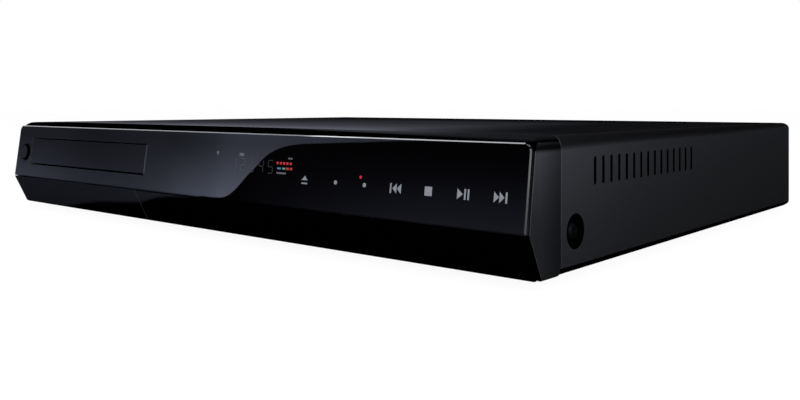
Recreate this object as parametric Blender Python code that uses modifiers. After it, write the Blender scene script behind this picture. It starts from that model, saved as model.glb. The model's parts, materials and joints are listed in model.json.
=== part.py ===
# Video disc recorder with a hard disk: case, tray drive, boards and sockets.
# The origin is the centre of the bounding box at floor level. X runs to the right, Y to the back, Z up.
import math

import bmesh
import bpy
from mathutils import Matrix, Vector

# Scene: emptied, with one collection for the parts and one for their helper shapes
for leftover in list(bpy.data.objects):
    bpy.data.objects.remove(leftover)
parts = bpy.data.collections.new("video_recorder")
cutters = bpy.data.collections.new("cutters")
bpy.context.scene.collection.children.link(parts)
bpy.context.scene.collection.children.link(cutters)
cutters.hide_render = True

mm = 0.001

# Case
body_width = 430 * mm
body_height = 57.5 * mm
case_depth = 332 * mm
sheet = 1 * mm
corner_radius = 4 * mm
gap = 0.3 * mm
overrun = 2 * mm
seam_depth = 15.8 * mm

# Front
ridge_reach = 9.6 * mm
ridge_height = 19.7 * mm
window_top_reach = 4.8 * mm
window_top_height = 55 * mm
window_inset = 0.6 * mm
window_corner_radius = 3.5 * mm
window_bevel = 0.6 * mm
cheek_step = 2.5 * mm
bezel_wall = 3 * mm
bezel_top_radius = 6.5 * mm
bottom_radius = 3 * mm
bezel_side_radius = 2.5 * mm
ridge_line = 0.6 * mm
bezel_foot_share = 1.5

# Hood
vent_count = 15
vent_first = 45.8 * mm
vent_pitch = 7.75 * mm
vent_width = 2 * mm
vent_low = 36 * mm
vent_high = 47.7 * mm
dimple_depth_place = 28.5 * mm
dimple_height = 17.3 * mm
dimple_radius = 7.5 * mm
dimple_floor_radius = 5.2 * mm
dimple_reach = 3.4 * mm
hood_foot_lip = 6 * mm
hood_back_lip = 8 * mm
screw_radius = 1.5 * mm
screw_head_radius = 3.6 * mm
screw_head_height = 1.6 * mm
screw_length = 6 * mm
screw_crown_share = 0.7
cup_rim_share = 1.5

# Floor pan, rear panel and feet
pan_side_height = 24 * mm
pan_bend_radius = 2 * mm
pan_vent_count = 12
pan_vent_pitch = 9 * mm
pan_vent_width = 3 * mm
pan_vent_length = 34 * mm
foot_height = 3 * mm
foot_radius = 15 * mm
foot_inset_side = 50 * mm
foot_inset_front = 46 * mm
foot_inset_back = 38 * mm
foot_top_share = 0.94
foot_sole_share = 0.9
foot_hollow_shares = (0.45, 0.4)
socket_reach = 9 * mm
standoff_radius = 3 * mm
standoff_height = 6 * mm

# Tray and its door
tray_centre = -121 * mm
door_width = 142.5 * mm
door_low = 28.7 * mm
door_height = 17.6 * mm
door_gap = 0.45 * mm
door_margin = 2.2 * mm
tray_width = 129 * mm
tray_depth = 192 * mm
tray_thickness = 7.7 * mm
tray_flange_reach = 2.4 * mm
tray_flange_height = 2 * mm
tray_flange_start = 26 * mm
rack_height = 5 * mm
rack_back = 3.2 * mm
rack_inset = 0.5 * mm
disc_radius = 60 * mm
disc_centre_depth = 78 * mm
disc_recess_depth = 4.5 * mm
small_disc_radius = 40 * mm
small_disc_step = 1 * mm
recess_clearance = 1 * mm
tray_slot_width = 44 * mm
tray_slot_front = 22 * mm
tray_slot_back = 67 * mm
finger_radius = 11 * mm
grip_turn = math.radians(35)
tray_corner = 6 * mm
tray_start = -3.4 * mm

# Power button
button_x = -200.8 * mm
button_height = 36.6 * mm
button_radius = 5.6 * mm
button_ring_gap = 0.35 * mm
button_proud = 0.3 * mm
button_cap = 1.7 * mm
button_stem_radius = 2.2 * mm
button_stem = 15.5 * mm
button_travel = 0.8 * mm
key_board_width = 20 * mm
key_board_height = 16 * mm
switch_side = 6 * mm
switch_height = 4 * mm
key_post_reach = 7.5 * mm
key_post_radius = 1.6 * mm

# Jack flap and its bay
flap_left = -57.6 * mm
flap_thickness = 2.4 * mm
flap_wrap = 3.4 * mm
flap_end_gap = 0.4 * mm
flap_pivot_depth = 2.5 * mm
flap_pivot_height = 3 * mm
flap_knuckle_radius = 2.2 * mm
flap_knuckle_length = 5 * mm
flap_pin_radius = 1.1 * mm
flap_pin_length = 2 * mm
bay_depth = 12 * mm
bay_wall = 2 * mm
bay_floor = 1.4 * mm
bay_lip_depth = 6.6 * mm
bay_roof_drop = 0.2 * mm

# Gears
gear_module = 1 * mm
tray_gear_teeth = 24
pinion_teeth = 15
rack_teeth = 50
pressure_angle = math.radians(20)
addendum_share = 0.85
dedendum_share = 1.2
backlash = 0.3 * mm
gear_depth_place = 36 * mm
gear_height = 9 * mm
pinion_height = 4.4 * mm
gear_post_radius = 1.5 * mm
gear_seat_radius = 3.2 * mm
pulley_radius = 11.5 * mm
motor_pulley_radius = 3.5 * mm
pulley_height = 3 * mm
pulley_flange = 0.8 * mm
belt_radius = 0.7 * mm
loading_motor_x = -8 * mm
loading_motor_depth_place = 33.5 * mm
loading_motor_radius = 9 * mm
motor_shaft_radius = 0.8 * mm
motor_edge_share = 0.1

# Drive frame
frame_width = 140 * mm
frame_front = 20 * mm
frame_depth = 182 * mm
frame_wall = 2.5 * mm
frame_floor = 2 * mm
ledge_height = 2.5 * mm
ledge_reach = 2.5 * mm
hook_length = 12 * mm
leg_side = 10 * mm
frame_window_width = 76 * mm
frame_window_front = 62 * mm
frame_window_back = 168 * mm
frame_top_margin = 4.3 * mm
hook_shares = (0.03, 0.45, 0.88)
motor_seat_share = 0.6

# Traverse
rest_tilt = math.radians(4.6)
deck_thickness = 2.5 * mm
deck_half_width = 43 * mm
deck_front = 51 * mm
deck_back = 187 * mm
pivot_depth = 183 * mm
pivot_pin_radius = 2 * mm
pivot_pin_reach = 50 * mm
boss_inner = 45.2 * mm
boss_outer = 51 * mm
boss_half_depth = 4.5 * mm
lift_pin_x = -22 * mm
lift_pin_radius = 1.5 * mm
lift_pin_length = 6.6 * mm
slider_front = 46 * mm
slider_thickness = 2 * mm
slider_travel = 20 * mm
slider_margin = 8 * mm
slider_web = 1.6 * mm
slider_slot_clearance = 0.5 * mm
rib_height = 2 * mm
rib_thickness = 1.6 * mm

# Spindle, pickup and its drive
seat_above_floor = 0.8 * mm
turntable_radius = 15 * mm
turntable_thickness = 2 * mm
hub_radius = 7.3 * mm
hub_nose_radius = 5 * mm
hub_straight = 2 * mm
hub_height = 3.4 * mm
spindle_motor_radius = 13.2 * mm
spindle_motor_height = 7.6 * mm
spindle_shaft_radius = 1 * mm
sled_width = 40 * mm
sled_depth = 26 * mm
sled_height = 9.5 * mm
sled_drop = 7.4 * mm
sled_start_clearance = 0.8 * mm
sled_travel = 34 * mm
sled_boss_radius = 3 * mm
sled_edge = 0.5 * mm
turret_radius = 5.5 * mm
turret_height = 4 * mm
lens_radius = 2.6 * mm
lens_dome = 1 * mm
lens_crown_shares = (0.6, 0.85)
lens_edge_share = 0.4
rod_radius = 1.5 * mm
rod_spacing = 48 * mm
rod_lift = 2.4 * mm
lug_depth = 3 * mm
lug_width = 7 * mm
rod_seat_share = 0.2
lead_screw_x = 33 * mm
lead_screw_radius = 1.7 * mm
sled_motor_radius = 5.2 * mm
sled_motor_length = 11 * mm

# Clamp
bridge_width = 26 * mm
bridge_hole_radius = 7.4 * mm
puck_radius = 15.5 * mm
puck_neck_radius = 6.8 * mm
puck_flange_radius = 10 * mm
puck_flange = 1.4 * mm
puck_drop = 1 * mm

# Front boards, display and front sockets
board = 1.6 * mm
front_board_left = -35 * mm
front_board_right = 203 * mm
front_board_low = 8 * mm
front_board_high = 32 * mm
front_board_set_back = 12 * mm
display_left = 10 * mm
display_right = 92 * mm
display_low = 11 * mm
display_high = 31 * mm
display_recess = 0.6 * mm
jack_board_left = 62 * mm
jack_board_right = 196 * mm
jack_board_set_back = 8.6 * mm
front_jack_x = 84 * mm
front_jack_pitch = 15 * mm
front_jack_count = 3
front_usb_x = 134 * mm
front_dv_x = 172 * mm
front_socket_height = 10.6 * mm
jack_radius = 4.2 * mm
jack_hole_clearance = 0.5 * mm
jack_bore_radius = 1.7 * mm
jack_body_depth = 8 * mm
jack_body_height = 11 * mm
jack_body_margin = 6.5 * mm
front_jack_reach = 5 * mm
usb_width = 14.4 * mm
usb_height = 6.6 * mm
usb_wall = 0.6 * mm
usb_tongue = 1.8 * mm
dv_width = 7.4 * mm
dv_height = 5.2 * mm

# Power supply
power_board_left = -206 * mm
power_board_right = -84 * mm
power_board_front = 214 * mm
power_board_back = 318 * mm
transformer_x = -128 * mm
transformer_depth_place = 262 * mm
transformer_width = 34 * mm
transformer_depth = 28 * mm
transformer_height = 27 * mm
bobbin_width = 24 * mm
bobbin_depth = 38 * mm
bobbin_height = 19 * mm
capacitor_x = -176 * mm
capacitor_depth_place = 262 * mm
capacitor_radius = 11 * mm
capacitor_height = 32 * mm
capacitor_rim = 1.5 * mm
capacitor_crimp = 0.5 * mm
heat_sink_x = -96 * mm
heat_sink_front = 234 * mm
heat_sink_back = 290 * mm
heat_sink_height = 30 * mm
heat_sink_plate = 2 * mm
heat_sink_fin = 6 * mm
heat_sink_fin_width = 1.4 * mm
heat_sink_fins = 7
inlet_x = -178 * mm
inlet_height = 22 * mm
inlet_width = 25 * mm
inlet_tall = 16 * mm
inlet_body_depth = 14 * mm
inlet_recess_depth = 12 * mm
inlet_half_pitch = 4.3 * mm
inlet_recess_radius = 4.2 * mm
inlet_pin_radius = 1.2 * mm
inlet_pin_length = 9 * mm
inlet_flange = 2.4 * mm

# Main board and rear sockets
main_board_left = -20 * mm
main_board_right = 206 * mm
main_board_front = 222 * mm
main_board_back = 318 * mm
main_sink_x = 62 * mm
main_sink_depth_place = 256 * mm
main_sink_side = 36 * mm
main_sink_height = 16 * mm
rear_jack_low = 19 * mm
rear_jack_pitch = 14 * mm
component_x = 42 * mm
av_out_x = 86 * mm
hdmi_x = -8 * mm
digital_x = 14 * mm
scart_x = 138 * mm
scart_lower = 21 * mm
scart_pitch = 20 * mm
scart_width = 48 * mm
scart_tall = 15.6 * mm
scart_wall = 3 * mm
scart_tongue = 6 * mm
scart_depth = 12 * mm
scart_proud = 3 * mm
tuner_x = 190 * mm
tuner_width = 26 * mm
tuner_margin = 8 * mm
tuner_depth = 52 * mm
tuner_low = 19 * mm
tuner_pitch = 20 * mm
coax_radius = 4.8 * mm
coax_bore_radius = 1.7 * mm
hdmi_width = 15 * mm
hdmi_height = 5.6 * mm
rear_port_depth = 11 * mm
digital_side = 10 * mm
digital_hole_radius = 3.5 * mm
digital_hole_depth = 3 * mm

# Hard disk
disk_x = 66 * mm
disk_front = 40 * mm
disk_width = 101.6 * mm
disk_depth = 147 * mm
disk_height = 26.1 * mm
disk_rise = 8 * mm
disk_edge = 1.6 * mm
disk_rounding = 1 * mm
disk_lid_back_share = 4
bracket_wall = 1.2 * mm
bracket_height = 18 * mm
bracket_foot = 12 * mm
bracket_inset = 14 * mm

# Fan
fan_x = -52 * mm
fan_height = 29.5 * mm
fan_side = 40 * mm
fan_depth = 10 * mm
fan_bore_radius = 18.6 * mm
fan_hub_radius = 9.5 * mm
fan_blade_count = 7
fan_blade_radius = 17.8 * mm
fan_blade_thickness = 0.9 * mm
fan_blade_tilt = math.radians(38)
fan_blade_root_share = 0.8
fan_blade_tip_share = 0.97
fan_stator_radius = 8 * mm
fan_stator_depth = 2 * mm
fan_spoke_width = 3 * mm
fan_spoke_count = 3
grille_slots = 7
grille_pitch = 5 * mm
grille_slot_width = 3 * mm

# Sides of round pieces, steps of fillets and how close points are merged
disc_sides = 64
fine_sides = 48
round_sides = 24
small_sides = 12
belt_steps = 14
arc_steps = 5
bend_steps = 3
short_steps = 2
hood_corner_steps = 4
block_edge_steps = 2
round_profile = 0.5
smooth_angle = math.radians(35)
merge_distance = 0.001 * mm
turned_merge_distance = 0.01 * mm

# Places that follow from the sizes
half_width = body_width / 2
total_depth = ridge_reach + case_depth + socket_reach
front = ridge_reach - total_depth / 2
back = front + case_depth
base = foot_height
top = base + body_height
hood_front = front + seam_depth + gap
panel_out = back - sheet - gap
panel_in = panel_out - sheet
pan_low = base + sheet + gap
pan_top = pan_low + sheet
pan_half_width = half_width - dimple_reach - gap
board_low = pan_top + standoff_height + gap
lean = math.atan((ridge_reach - window_top_reach) / (window_top_height - ridge_height))
key_board_depth = button_stem + button_travel + gap + switch_height
window_rise = (window_top_height - ridge_height) / math.cos(lean)
window_thickness = (cheek_step - gap) * math.cos(lean)
core_set_back = cheek_step * math.cos(lean)
tray_low = base + door_low + gap + gap + rack_height
tray_top = tray_low + tray_thickness
tray_floor = tray_top - disc_recess_depth
disc_y = front + disc_centre_depth
seat = tray_floor + seat_above_floor
hub_top = seat + hub_height
rack_pitch_x = tray_centre + tray_width / 2 - rack_inset - rack_back - dedendum_share * gear_module
tray_gear_radius = tray_gear_teeth * gear_module / 2
pinion_radius = pinion_teeth * gear_module / 2
tray_gear_x = rack_pitch_x - tray_gear_radius
pinion_x = tray_gear_x - tray_gear_radius - pinion_radius
gear_y = front + gear_depth_place
motor_x = tray_centre + loading_motor_x
motor_y = front + loading_motor_depth_place
spindle_motor_top = seat - turntable_thickness - gap
deck_top = spindle_motor_top - spindle_motor_height - gap
deck_low = deck_top - deck_thickness
pivot_y = front + pivot_depth
pivot_z = (deck_low + deck_top) / 2
lift_run = pivot_depth - slider_front - slider_thickness / 2
lift_rise = lift_run * math.tan(rest_tilt)
lift_pin_low = pivot_z - lift_rise
slot_half = lift_pin_radius + slider_slot_clearance
slider_low = lift_pin_low - slot_half - slider_web
slider_top = pivot_z + slot_half + slider_web
floor_top = slider_low - gap
floor_low = floor_top - frame_floor
gear_top = tray_low - 2 * gap - overrun / 2
gear_low = gear_top - gear_height
frame_top = tray_top + frame_top_margin
rod_z = deck_top + rod_lift
screw_z = deck_top
rod_front = disc_y + spindle_motor_radius + gap
rod_back = rod_front + sled_depth + sled_travel + 2 * sled_start_clearance + lug_depth
sled_front = rod_front + lug_depth / 2 + sled_start_clearance
screw_back = rod_back + lug_depth
flap_right = half_width - bezel_wall - flap_end_gap


def finish(name, colour, roughness, metallic):
    material = bpy.data.materials.new(name)
    material.use_nodes = True
    shader = material.node_tree.nodes["Principled BSDF"]
    shader.inputs["Base Color"].default_value = (*colour, 1)
    shader.inputs["Roughness"].default_value = roughness
    shader.inputs["Metallic"].default_value = metallic
    material.diffuse_color = (*colour, 1)
    return material


def put(name, mesh, material):
    """A new object in the collection of parts."""
    piece = bpy.data.objects.new(name, mesh)
    parts.objects.link(piece)
    if material:
        mesh.materials.append(material)
    return piece


def block(name, low, high, material=None, radius=0):
    """A box from its lowest to its highest corner, with all edges rounded if a radius is given."""
    mesh = bpy.data.meshes.new(name)
    shape = bmesh.new()
    sides = Vector(high) - Vector(low)
    middle = (Vector(high) + Vector(low)) / 2
    place = Matrix.Translation(middle) @ Matrix.Diagonal((*sides, 1))
    bmesh.ops.create_cube(shape, size=1, matrix=place)
    if radius:
        bmesh.ops.bevel(
            shape, geom=shape.edges[:], offset=radius, segments=block_edge_steps, profile=round_profile,
            affect="EDGES"
        )
    shape.to_mesh(mesh)
    shape.free()
    return put(name, mesh, material)


def rod(name, start, direction, radius, length, material=None, sides=round_sides):
    """A cylinder that starts at a point and runs along a direction."""
    mesh = bpy.data.meshes.new(name)
    shape = bmesh.new()
    turn = Vector((0, 0, 1)).rotation_difference(Vector(direction)).to_matrix().to_4x4()
    place = Matrix.Translation(start) @ turn @ Matrix.Translation((0, 0, length / 2))
    bmesh.ops.create_cone(
        shape, cap_ends=True, segments=sides, radius1=radius, radius2=radius, depth=length, matrix=place
    )
    shape.to_mesh(mesh)
    shape.free()
    smooth(mesh)
    return put(name, mesh, material)


def turned(name, profile, place, direction=(0, 0, 1), material=None, sides=round_sides, closed=False):
    """A turned piece: (radius, height) points down the outer side, spun about a direction through a place."""
    mesh = bpy.data.meshes.new(name)
    shape = bmesh.new()
    points = [shape.verts.new((radius, 0, height)) for radius, height in profile]
    for first, second in zip(points, points[1:]):
        shape.edges.new((first, second))
    if closed:
        shape.edges.new((points[-1], points[0]))
    shape.to_mesh(mesh)
    shape.free()
    piece = put(name, mesh, material)
    piece.location = place
    piece.rotation_euler = Vector((0, 0, 1)).rotation_difference(Vector(direction)).to_euler()
    spin = piece.modifiers.new("turn", "SCREW")
    spin.steps = sides
    spin.render_steps = sides
    spin.use_merge_vertices = True
    spin.merge_threshold = turned_merge_distance
    spin.use_smooth_shade = True
    return piece


def flat(name, outlines, place, low, high, material=None):
    """A flat piece: closed outlines in a plane, the inner ones holes, from low to high along its normal."""
    curve = bpy.data.curves.new(name, "CURVE")
    curve.dimensions = "2D"
    curve.fill_mode = "BOTH"
    curve.extrude = (high - low) / 2
    for outline in outlines:
        spline = curve.splines.new("POLY")
        spline.points.add(len(outline) - 1)
        for point, (across, along) in zip(spline.points, outline):
            point.co = (across, along, 0, 1)
        spline.use_cyclic_u = True
    drawn = bpy.data.objects.new(name, curve)
    parts.objects.link(drawn)
    graph = bpy.context.evaluated_depsgraph_get()
    mesh = bpy.data.meshes.new_from_object(drawn.evaluated_get(graph))
    bpy.data.objects.remove(drawn)
    bpy.data.curves.remove(curve)
    shape = bmesh.new()
    shape.from_mesh(mesh)
    bmesh.ops.remove_doubles(shape, verts=shape.verts, dist=merge_distance)
    shape.to_mesh(mesh)
    shape.free()
    mesh.transform(place @ Matrix.Translation((0, 0, (low + high) / 2)))
    return put(name, mesh, material)


def tube(name, points, radius, material):
    """A closed loop of round section."""
    curve = bpy.data.curves.new(name, "CURVE")
    curve.dimensions = "3D"
    curve.bevel_depth = radius
    curve.bevel_resolution = 1
    spline = curve.splines.new("POLY")
    spline.points.add(len(points) - 1)
    for point, place in zip(spline.points, points):
        point.co = (*place, 1)
    spline.use_cyclic_u = True
    piece = bpy.data.objects.new(name, curve)
    parts.objects.link(piece)
    curve.materials.append(material)
    return piece


def smooth(mesh):
    mesh.shade_smooth()
    mesh.set_sharp_from_angle(angle=smooth_angle)


def combine(target, others, operation):
    """A Boolean of a piece with a pile of helper shapes, which stay out of the render."""
    pile = bpy.data.collections.new(target.name + "_" + operation.lower())
    cutters.children.link(pile)
    for other in others:
        parts.objects.unlink(other)
        pile.objects.link(other)
        other.hide_render = True
        other.display_type = "WIRE"
    change = target.modifiers.new(operation.lower(), "BOOLEAN")
    change.operation = operation
    change.operand_type = "COLLECTION"
    change.collection = pile
    change.solver = "EXACT"


def join(target, *others):
    combine(target, others, "UNION")


def cut(target, *others):
    combine(target, others, "DIFFERENCE")


def pivot_at(piece, point):
    """Moves the piece's origin to a point on its joint's axis, with its shape left in place."""
    piece.data.transform(Matrix.Translation(-Vector(point)))
    piece.location = point


def helpers_of(piece):
    """The helper shapes of a piece's Booleans, and theirs."""
    found = []
    for change in piece.modifiers:
        if change.type == "BOOLEAN":
            for helper in change.collection.objects:
                found += [helper, *helpers_of(helper)]
    return found


def carry(holder, *pieces):
    """Parents pieces and their helper shapes to an empty, with their places kept."""
    for piece in pieces:
        for one in [piece, *helpers_of(piece)]:
            one.parent = holder
            one.matrix_parent_inverse = Matrix.Translation(-holder.location)


def rectangle(low_u, high_u, low_v, high_v):
    return [(low_u, low_v), (high_u, low_v), (high_u, high_v), (low_u, high_v)]


def circle(centre_u, centre_v, radius, sides=round_sides):
    turns = [2 * math.pi * step / sides for step in range(sides)]
    return [(centre_u + radius * math.cos(turn), centre_v + radius * math.sin(turn)) for turn in turns]


def slot(start, end, half, steps=arc_steps):
    """A long round-ended outline from one centre to another."""
    along = math.atan2(end[1] - start[1], end[0] - start[0])
    points = []
    for centre, first in ((end, along - math.pi / 2), (start, along + math.pi / 2)):
        for step in range(steps + 1):
            turn = first + math.pi * step / steps
            points.append((centre[0] + half * math.cos(turn), centre[1] + half * math.sin(turn)))
    return points


def rounded(corners, steps=arc_steps):
    """An outline from (u, v, radius) corners, each with its own fillet."""
    points = []
    count = len(corners)
    for number, (u, v, radius) in enumerate(corners):
        here = Vector((u, v))
        if not radius:
            points.append((u, v))
            continue
        before = (Vector(corners[number - 1][:2]) - here).normalized()
        after = (Vector(corners[(number + 1) % count][:2]) - here).normalized()
        half = before.angle(after) / 2
        centre = here + (before + after).normalized() * radius / math.sin(half)
        first = here + before * radius / math.tan(half) - centre
        last = here + after * radius / math.tan(half) - centre
        sweep = first.angle_signed(last)
        for step in range(steps + 1):
            turn = -sweep * step / steps
            spun = Matrix.Rotation(turn, 2) @ first
            points.append(tuple(centre + spun))
    return points


def gear_outline(teeth, centre_x, centre_y, first_tooth):
    """Involute teeth, three points to a flank, with a tooth at the angle first_tooth."""
    pitch = teeth * gear_module / 2
    root = pitch - dedendum_share * gear_module
    tip = pitch + addendum_share * gear_module
    flank_base = pitch * math.cos(pressure_angle)
    pitch_half = math.pi / 2 / teeth - backlash / 2 / pitch
    involute = math.tan(pressure_angle) - pressure_angle

    def half_angle(radius):
        angle = math.acos(min(1, flank_base / radius))
        return pitch_half + involute - (math.tan(angle) - angle)

    radii = [root, max(root, flank_base), pitch, tip]
    if radii[1] - radii[0] < gear_module / 10:
        radii.pop(1)
    points = []
    for tooth in range(teeth):
        middle = first_tooth + 2 * math.pi * tooth / teeth
        for radius in radii:
            turn = middle - half_angle(radius)
            points.append((centre_x + radius * math.cos(turn), centre_y + radius * math.sin(turn)))
        for radius in reversed(radii):
            turn = middle + half_angle(radius)
            points.append((centre_x + radius * math.cos(turn), centre_y + radius * math.sin(turn)))
    return points


def rack_outline(pitch_x, back_x, first_y, count):
    """A rack whose teeth point to lower X, with a gap centred on first_y and the teeth behind it."""
    pitch = math.pi * gear_module
    half = pitch / 4 - backlash / 2
    lean_out = math.tan(pressure_angle)
    tip = addendum_share * gear_module
    root = dedendum_share * gear_module
    start = first_y - 2 * pitch
    points = [(back_x, start + pitch * count), (back_x, start)]
    for tooth in range(count):
        middle = start + pitch * tooth + pitch / 2
        wide = half + root * lean_out
        narrow = half - tip * lean_out
        points.append((pitch_x + root, middle - wide))
        points.append((pitch_x - tip, middle - narrow))
        points.append((pitch_x - tip, middle + narrow))
        points.append((pitch_x + root, middle + wide))
    return points


def belt_points(first, first_radius, second, second_radius, height):
    """An open-belt loop round two pulleys."""
    across = Vector(second) - Vector(first)
    along = math.atan2(across.y, across.x)
    wrap = math.acos((first_radius - second_radius) / across.length)
    points = []
    for centre, radius, start, sweep in (
        (first, first_radius, along + wrap, 2 * math.pi - 2 * wrap),
        (second, second_radius, along - wrap, 2 * wrap),
    ):
        for step in range(belt_steps + 1):
            turn = start + sweep * step / belt_steps
            points.append((centre[0] + radius * math.cos(turn), centre[1] + radius * math.sin(turn), height))
    return points


# Planes for flat outlines: each maps (u, v, normal) to the world
flat_x = Matrix(((0, 0, 1, 0), (1, 0, 0, 0), (0, 1, 0, 0), (0, 0, 0, 1)))
flat_y = Matrix(((1, 0, 0, 0), (0, 0, -1, 0), (0, 1, 0, 0), (0, 0, 0, 1)))
flat_z = Matrix.Identity(4)
ridge_line_place = Matrix.Translation((0, front - ridge_reach, base + ridge_height))
flat_lean = ridge_line_place @ Matrix.Rotation(-lean, 4, "X") @ flat_y


def across_y(name, outlines, low, high, material=None):
    """A flat piece with (x, z) outlines from low to high along Y."""
    return flat(name, outlines, flat_y, -high, -low, material)


def window_face(height):
    """Y of the window's outer face at a height above the case's bottom."""
    return front - ridge_reach + (height - ridge_height) * math.tan(lean)


def on_window(x, height, depth=0):
    """The point on the window's face at x and a height, or at a depth behind it."""
    inward = Vector((0, math.cos(lean), -math.sin(lean)))
    return Vector((x, window_face(height), base + height)) + inward * depth


def bezel_core_outline():
    """The satin moulding's section in (y, z): set back from the gloss faces by the cheek step."""
    ridge = (front - ridge_reach + cheek_step, base + ridge_height, ridge_line)
    upper = (window_face(body_height) + cheek_step, top, bezel_top_radius)
    seam = front + seam_depth
    return rounded([(seam, base, 0), (front + cheek_step, base, bottom_radius), ridge, upper, (seam, top, 0)])


def lower_face_points():
    """The lower gloss face: its upper edge under the ridge, its sharp bottom corner and its unit vectors."""
    bottom = Vector((front, base))
    ridge = Vector((front - ridge_reach, base + ridge_height))
    down = (bottom - ridge).normalized()
    inward = Vector((-down.y, down.x))
    return ridge + down * ridge_line, bottom, down, inward


def make_bezel():
    upper, bottom, down, inward = lower_face_points()
    seam = front + seam_depth
    core = flat("front_bezel", [bezel_core_outline()], flat_x, -half_width, half_width, satin_black)
    fascia_outline = rounded([
        (seam - overrun, base, 0), (bottom.x, bottom.y, bottom_radius), (upper.x, upper.y, 0),
        (seam - overrun, upper.y, 0),
    ])
    fascia = flat("fascia", [fascia_outline], flat_x, -half_width + window_inset, flap_left - flap_end_gap)
    join(core, fascia)
    case_outline = rounded([
        (-half_width, base, bezel_side_radius), (half_width, base, bezel_side_radius),
        (half_width, top, corner_radius), (-half_width, top, corner_radius),
    ])
    envelope = across_y("case_envelope", [case_outline], front - ridge_reach - overrun, seam + overrun)
    combine(core, [envelope], "INTERSECT")
    ridge_y = front - ridge_reach + cheek_step
    shelf_low = base + ridge_height - bay_roof_drop
    shelf_high = shelf_low + bezel_wall
    inner_top = top - bezel_wall
    inner_face = window_face(body_height - bezel_wall) + cheek_step + bezel_wall
    shelf_front = window_face(shelf_high - base) + cheek_step + bezel_wall
    hollow_outline = rounded([
        (seam + overrun, shelf_high, 0), (shelf_front, shelf_high, 0),
        (inner_face, inner_top, bezel_top_radius - bezel_wall), (seam + overrun, inner_top, 0),
    ])
    side = half_width - bezel_wall
    hollow = flat("hollow_upper", [hollow_outline], flat_x, -side, side)
    foot = bottom + inward * bezel_wall * bezel_foot_share
    head = upper + inward * bezel_wall
    lower_outline = [
        (seam + overrun, base + bezel_wall), (foot.x, base + bezel_wall), (head.x, shelf_low - bezel_wall),
        (seam + overrun, shelf_low - bezel_wall),
    ]
    hollow_left = flat("hollow_left", [lower_outline], flat_x, -side, flap_left - flap_end_gap - bezel_wall)
    bay_back = front + bay_depth
    bay_left = flap_left - flap_end_gap
    bay_front = block(
        "bay_front", (bay_left, ridge_y - cheek_step - overrun, base - overrun),
        (side, front + bay_lip_depth, shelf_low),
    )
    bay = block("bay", (bay_left, front, base + bay_floor), (side, bay_back, shelf_low))
    behind = block(
        "behind_bay", (bay_left, bay_back + bay_wall, base + bezel_wall),
        (side, seam + overrun, shelf_low - bezel_wall),
    )
    door_half = door_width / 2 - door_margin
    tray_way = block(
        "tray_way",
        (tray_centre - door_half, front - ridge_reach - overrun, base + door_low - door_gap),
        (tray_centre + door_half, inner_face + overrun, base + door_low + door_height - door_margin),
    )
    display_outline = rectangle(
        display_left - gap, display_right + gap, display_low - gap, display_high + gap
    )
    display_way = flat("display_way", [display_outline], flat_lean, -core_set_back - 2 * bezel_wall, overrun)
    stem_start = on_window(button_x, button_height, core_set_back - overrun)
    inward_way = (on_window(button_x, button_height, overrun) - on_window(button_x, button_height)).normalized(
        
    )
    stem_way = rod("stem_way", stem_start, inward_way, button_stem_radius + gap, bezel_wall + 2 * overrun)
    pin_place = (flap_left, front + flap_pivot_depth, base + flap_pivot_height)
    pin_reach = flap_pin_length + 2 * flap_end_gap + gap
    hole_radius = flap_pin_radius + gap
    left_hole = rod("left_hole", pin_place, (-1, 0, 0), hole_radius, pin_reach, None, small_sides)
    right_start = (side - overrun, front + flap_pivot_depth, base + flap_pivot_height)
    right_reach = overrun + pin_reach - 2 * flap_end_gap
    right_hole = rod("right_hole", right_start, (1, 0, 0), hole_radius, right_reach, None, small_sides)
    middle = base + front_socket_height
    jacks = [
        rod(
            "jack_way", (front_jack_x + number * front_jack_pitch, bay_back - overrun, middle),
            (0, 1, 0), jack_radius + jack_hole_clearance, bay_wall + 2 * overrun,
        )
        for number in range(front_jack_count)
    ]
    ports = []
    for name, x, width, height in (
        ("usb_way", front_usb_x, usb_width, usb_height), ("dv_way", front_dv_x, dv_width, dv_height),
    ):
        ports.append(block(
            name, (x - width / 2 - gap, bay_back - overrun, middle - height / 2 - gap),
            (x + width / 2 + gap, bay_back + bay_wall + overrun, middle + height / 2 + gap),
        ))
    cut(
        core, hollow, hollow_left, bay_front, bay, behind, tray_way, display_way, stem_way, left_hole,
        right_hole,
        *jacks, *ports,
    )
    supports = []
    for end in (-1, 1):
        x = button_x + end * key_post_reach
        start = on_window(x, button_height, core_set_back + bezel_wall / 2)
        length = key_board_depth - gap - core_set_back - bezel_wall / 2
        supports.append(rod("key_post", start, inward_way, key_post_radius, length, None, small_sides))
    join(core, *supports)


def make_window():
    side = half_width - window_inset
    corner = window_corner_radius
    low_corner = window_bevel
    outline = rounded([
        (-side, 0, low_corner), (side, 0, low_corner), (side, window_rise, corner),
        (-side, window_rise, corner),
    ])
    button_rise = (button_height - ridge_height) / math.cos(lean)
    hole = circle(button_x, button_rise, button_radius + button_ring_gap, round_sides)
    window = flat("front_window", [outline, hole], flat_lean, -window_thickness, 0, gloss_black)
    door_half = door_width / 2 + door_gap
    opening = block(
        "door_opening",
        (tray_centre - door_half, front - ridge_reach - overrun, base + door_low - door_gap),
        (tray_centre + door_half, front + cheek_step, base + door_low + door_height + door_gap),
    )
    cut(window, opening)


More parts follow.
